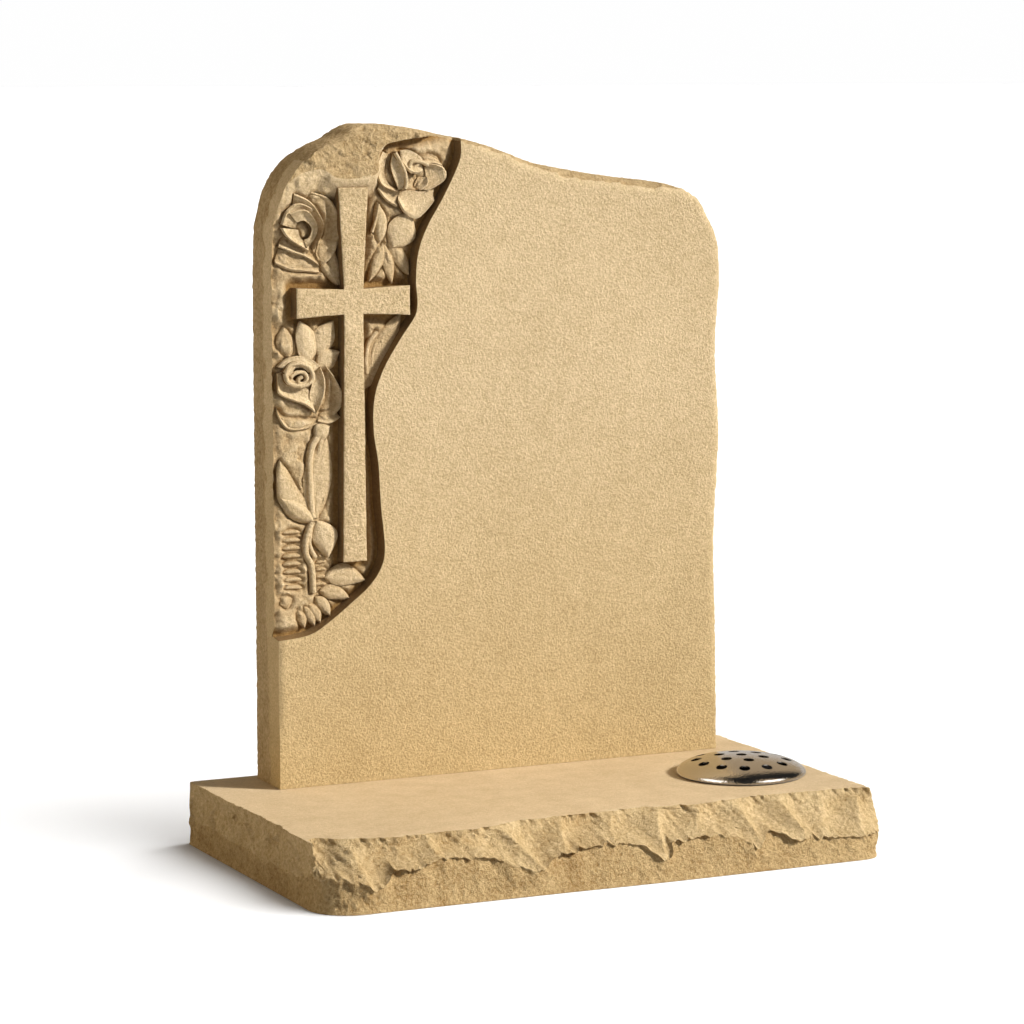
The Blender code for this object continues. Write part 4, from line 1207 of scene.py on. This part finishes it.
def build_lid():
    foot = LID_FOOT
    below = LID_FOOT - LID_COLLAR_DEPTH
    turn_in = math.degrees(math.asin(LID_WALL / (LID_RISE - LID_WALL)))
    outer = dome(LID_RADIUS, LID_RISE, LID_STEPS[0], 0)
    inner = dome(LID_RADIUS - LID_WALL, LID_RISE - LID_WALL, LID_STEPS[1], turn_in)
    inside_collar = LID_COLLAR - LID_WALL
    collar = [(LID_COLLAR, foot), (LID_COLLAR, below)]
    collar += [(inside_collar, below), (inside_collar, foot + LID_WALL)]
    section = [(0.0, outer[0][1])] + outer[1:] + collar + inner[:0:-1] + [(0.0, inner[0][1])]
    made = turned("chrome_lid", section, LID_SIDES, CHROME)
    middle = (CONTAINER_X, CONTAINER_Y, LID_FOOT + LID_RISE)
    made = grown(made, punch_tree(), {"Middle": middle, "Material": CHROME})
    made.data.set_sharp_from_angle(angle=math.radians(40))
    return made


lid = build_lid()
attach(lid, "root")
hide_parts("flower_container_lid")


# Floor, light and camera: a white studio floor with a light of its own. A warm, low key light comes from
# the front right, a weak fill light from behind on the left, and a pale surround is brighter above and at
# the right.
FLOOR_TONE = 0.93
FLOOR_BOUNCE = 0.45

# Each light: where it stands, its strength, its spread in degrees and its colour
KEY_LIGHT = ((0.70, -0.53, 0.50), 5.5, 9.0, (1.0, 0.985, 0.96))
FILL_LIGHT = ((-0.78, 0.52, 0.12), 1.15, 24.0, (1.0, 0.78, 0.46))
FLOOR_LIGHT = ((0.60, -0.20, 0.70), 5.2, 64.0, (1.0, 1.0, 1.0))

# The surround: where it is brightest, its strengths and its colour, what polished metal mirrors, and what
# is seen
SURROUND_TOWARDS = (0.50, -0.30, 0.81)
SURROUND_START = -0.2
SURROUND_LOW = 0.07
SURROUND_HIGH = 0.36
SURROUND_COLOUR = (1.0, 0.965, 0.91, 1)
MIRRORED_COLOUR = (0.50, 0.39, 0.26, 1)
SEEN_COLOUR = (0.995, 0.995, 0.995, 1)

CAMERA_PLACE = (-1.898, -3.843, 0.964)
CAMERA_TURN = math.radians(25.81)
CAMERA_FALL = math.radians(7.28)
CAMERA_LENS = 125.5
CAMERA_FILM = 36.0


# The floor looks white, but throws less light back at the stone.
def studio_floor():
    made, tree, shader = new_material("studio_floor")
    ray = add_node(tree, 'ShaderNodeLightPath')
    tone = add_node(tree, 'ShaderNodeMapRange', {
        "Value": ray.outputs["Is Camera Ray"], "To Min": FLOOR_BOUNCE, "To Max": FLOOR_TONE})
    set_inputs(tree, shader, {
        "Base Color": tone.outputs["Result"], "Roughness": 1.0, "Specular IOR Level": 0.0})
    return made


def sun(name, towards, strength, spread, colour, receivers):
    light = bpy.data.lights.new(name, 'SUN')
    light.energy = strength
    light.angle = math.radians(spread)
    light.color = colour
    made = bpy.data.objects.new(name, light)
    bpy.context.scene.collection.objects.link(made)
    made.rotation_euler = Vector(towards).to_track_quat('Z', 'Y').to_euler()
    made.light_linking.receiver_collection = receivers


bpy.ops.mesh.primitive_plane_add(size=200.0, location=(0.0, 0.0, -0.0005))
floor = bpy.context.object
floor.name = "studio_floor"
floor.data.materials.append(studio_floor())
lit_floor = bpy.data.collections.new("lit_by_floor_light")
lit_floor.objects.link(floor)
lit_stone = bpy.data.collections.new("lit_by_key_light")
for unlit in (floor, lid):
    lit_stone.objects.link(unlit)
for linked in lit_stone.collection_objects:
    linked.light_linking.link_state = 'EXCLUDE'
sun("key_light", *KEY_LIGHT, lit_stone)
sun("fill_light", *FILL_LIGHT, lit_stone)
sun("floor_light", *FLOOR_LIGHT, lit_floor)


# Cards round the lid that only polished metal reflects, as softboxes and black flags show in a studio
# picture. Each has its bearing and climb as the lid sees it, its size and its strength.
def card(name, bearing, climb, size, strength):
    turn, rise = math.radians(bearing), math.radians(climb)
    middle = Vector((CONTAINER_X, CONTAINER_Y, LID_FOOT))
    away = Vector((math.cos(turn) * math.cos(rise), math.sin(turn) * math.cos(rise), math.sin(rise)))
    bpy.ops.mesh.primitive_plane_add(size=1.0, location=middle + CARD_DISTANCE * away)
    made = bpy.context.object
    made.name = name
    made.scale = (*size, 1.0)
    made.rotation_euler = away.to_track_quat('Z', 'Y').to_euler()
    glow, tree, shader = new_material(name)
    set_inputs(tree, shader, {
        "Base Color": (0.0, 0.0, 0.0, 1), "Emission Color": CARD_COLOUR, "Emission Strength": strength})
    made.data.materials.append(glow)
    made.visible_camera = made.visible_diffuse = made.visible_shadow = False


CARD_DISTANCE = 2.0
CARD_COLOUR = (1.0, 0.98, 0.95, 1)
card("left_card", -174.0, 32.0, (1.25, 0.95), 2.8)
card("right_card", -56.0, 36.0, (1.25, 0.75), 3.6)
card("dark_card", -112.0, 58.0, (1.5, 3.6), 0.0)
card("dark_side_card", 2.0, 50.0, (1.6, 2.6), 0.0)
card("back_card", 50.0, 9.0, (1.8, 0.30), 0.7)

world = bpy.data.worlds.new("studio")
bpy.context.scene.world = world
world.use_nodes = True
sky = world.node_tree
place = add_node(sky, 'ShaderNodeTexCoord')
facing = add_node(sky, 'ShaderNodeVectorMath', {
    0: place.outputs["Generated"], 1: SURROUND_TOWARDS}, operation='DOT_PRODUCT')
glow = add_node(sky, 'ShaderNodeMapRange', {
    "Value": facing.outputs["Value"], "From Min": SURROUND_START,
    "To Min": SURROUND_LOW, "To Max": SURROUND_HIGH})
surround = sky.nodes["Background"]
set_inputs(sky, surround, {"Color": SURROUND_COLOUR, "Strength": glow.outputs["Result"]})
seen = add_node(sky, 'ShaderNodeBackground', {"Color": SEEN_COLOUR})
mirrored = add_node(sky, 'ShaderNodeBackground', {"Color": MIRRORED_COLOUR})
ray = add_node(sky, 'ShaderNodeLightPath').outputs
reflected = add_node(sky, 'ShaderNodeMixShader', {
    "Fac": ray["Is Glossy Ray"], 1: surround.outputs["Background"], 2: mirrored.outputs["Background"]})
choice = add_node(sky, 'ShaderNodeMixShader', {
    "Fac": ray["Is Camera Ray"], 1: reflected.outputs["Shader"], 2: seen.outputs["Background"]})
set_inputs(sky, sky.nodes["World Output"], {"Surface": choice.outputs["Shader"]})

camera = bpy.data.cameras.new("photo_camera")
camera.lens = CAMERA_LENS
camera.sensor_width = CAMERA_FILM
viewer = bpy.data.objects.new("photo_camera", camera)
bpy.context.scene.collection.objects.link(viewer)
level = math.cos(CAMERA_FALL)
looking = Vector((math.sin(CAMERA_TURN) * level, math.cos(CAMERA_TURN) * level, -math.sin(CAMERA_FALL)))
viewer.location = CAMERA_PLACE
viewer.rotation_euler = looking.to_track_quat('-Z', 'Y').to_euler()
bpy.context.scene.camera = viewer
bpy.context.scene.view_settings.view_transform = 'Standard'
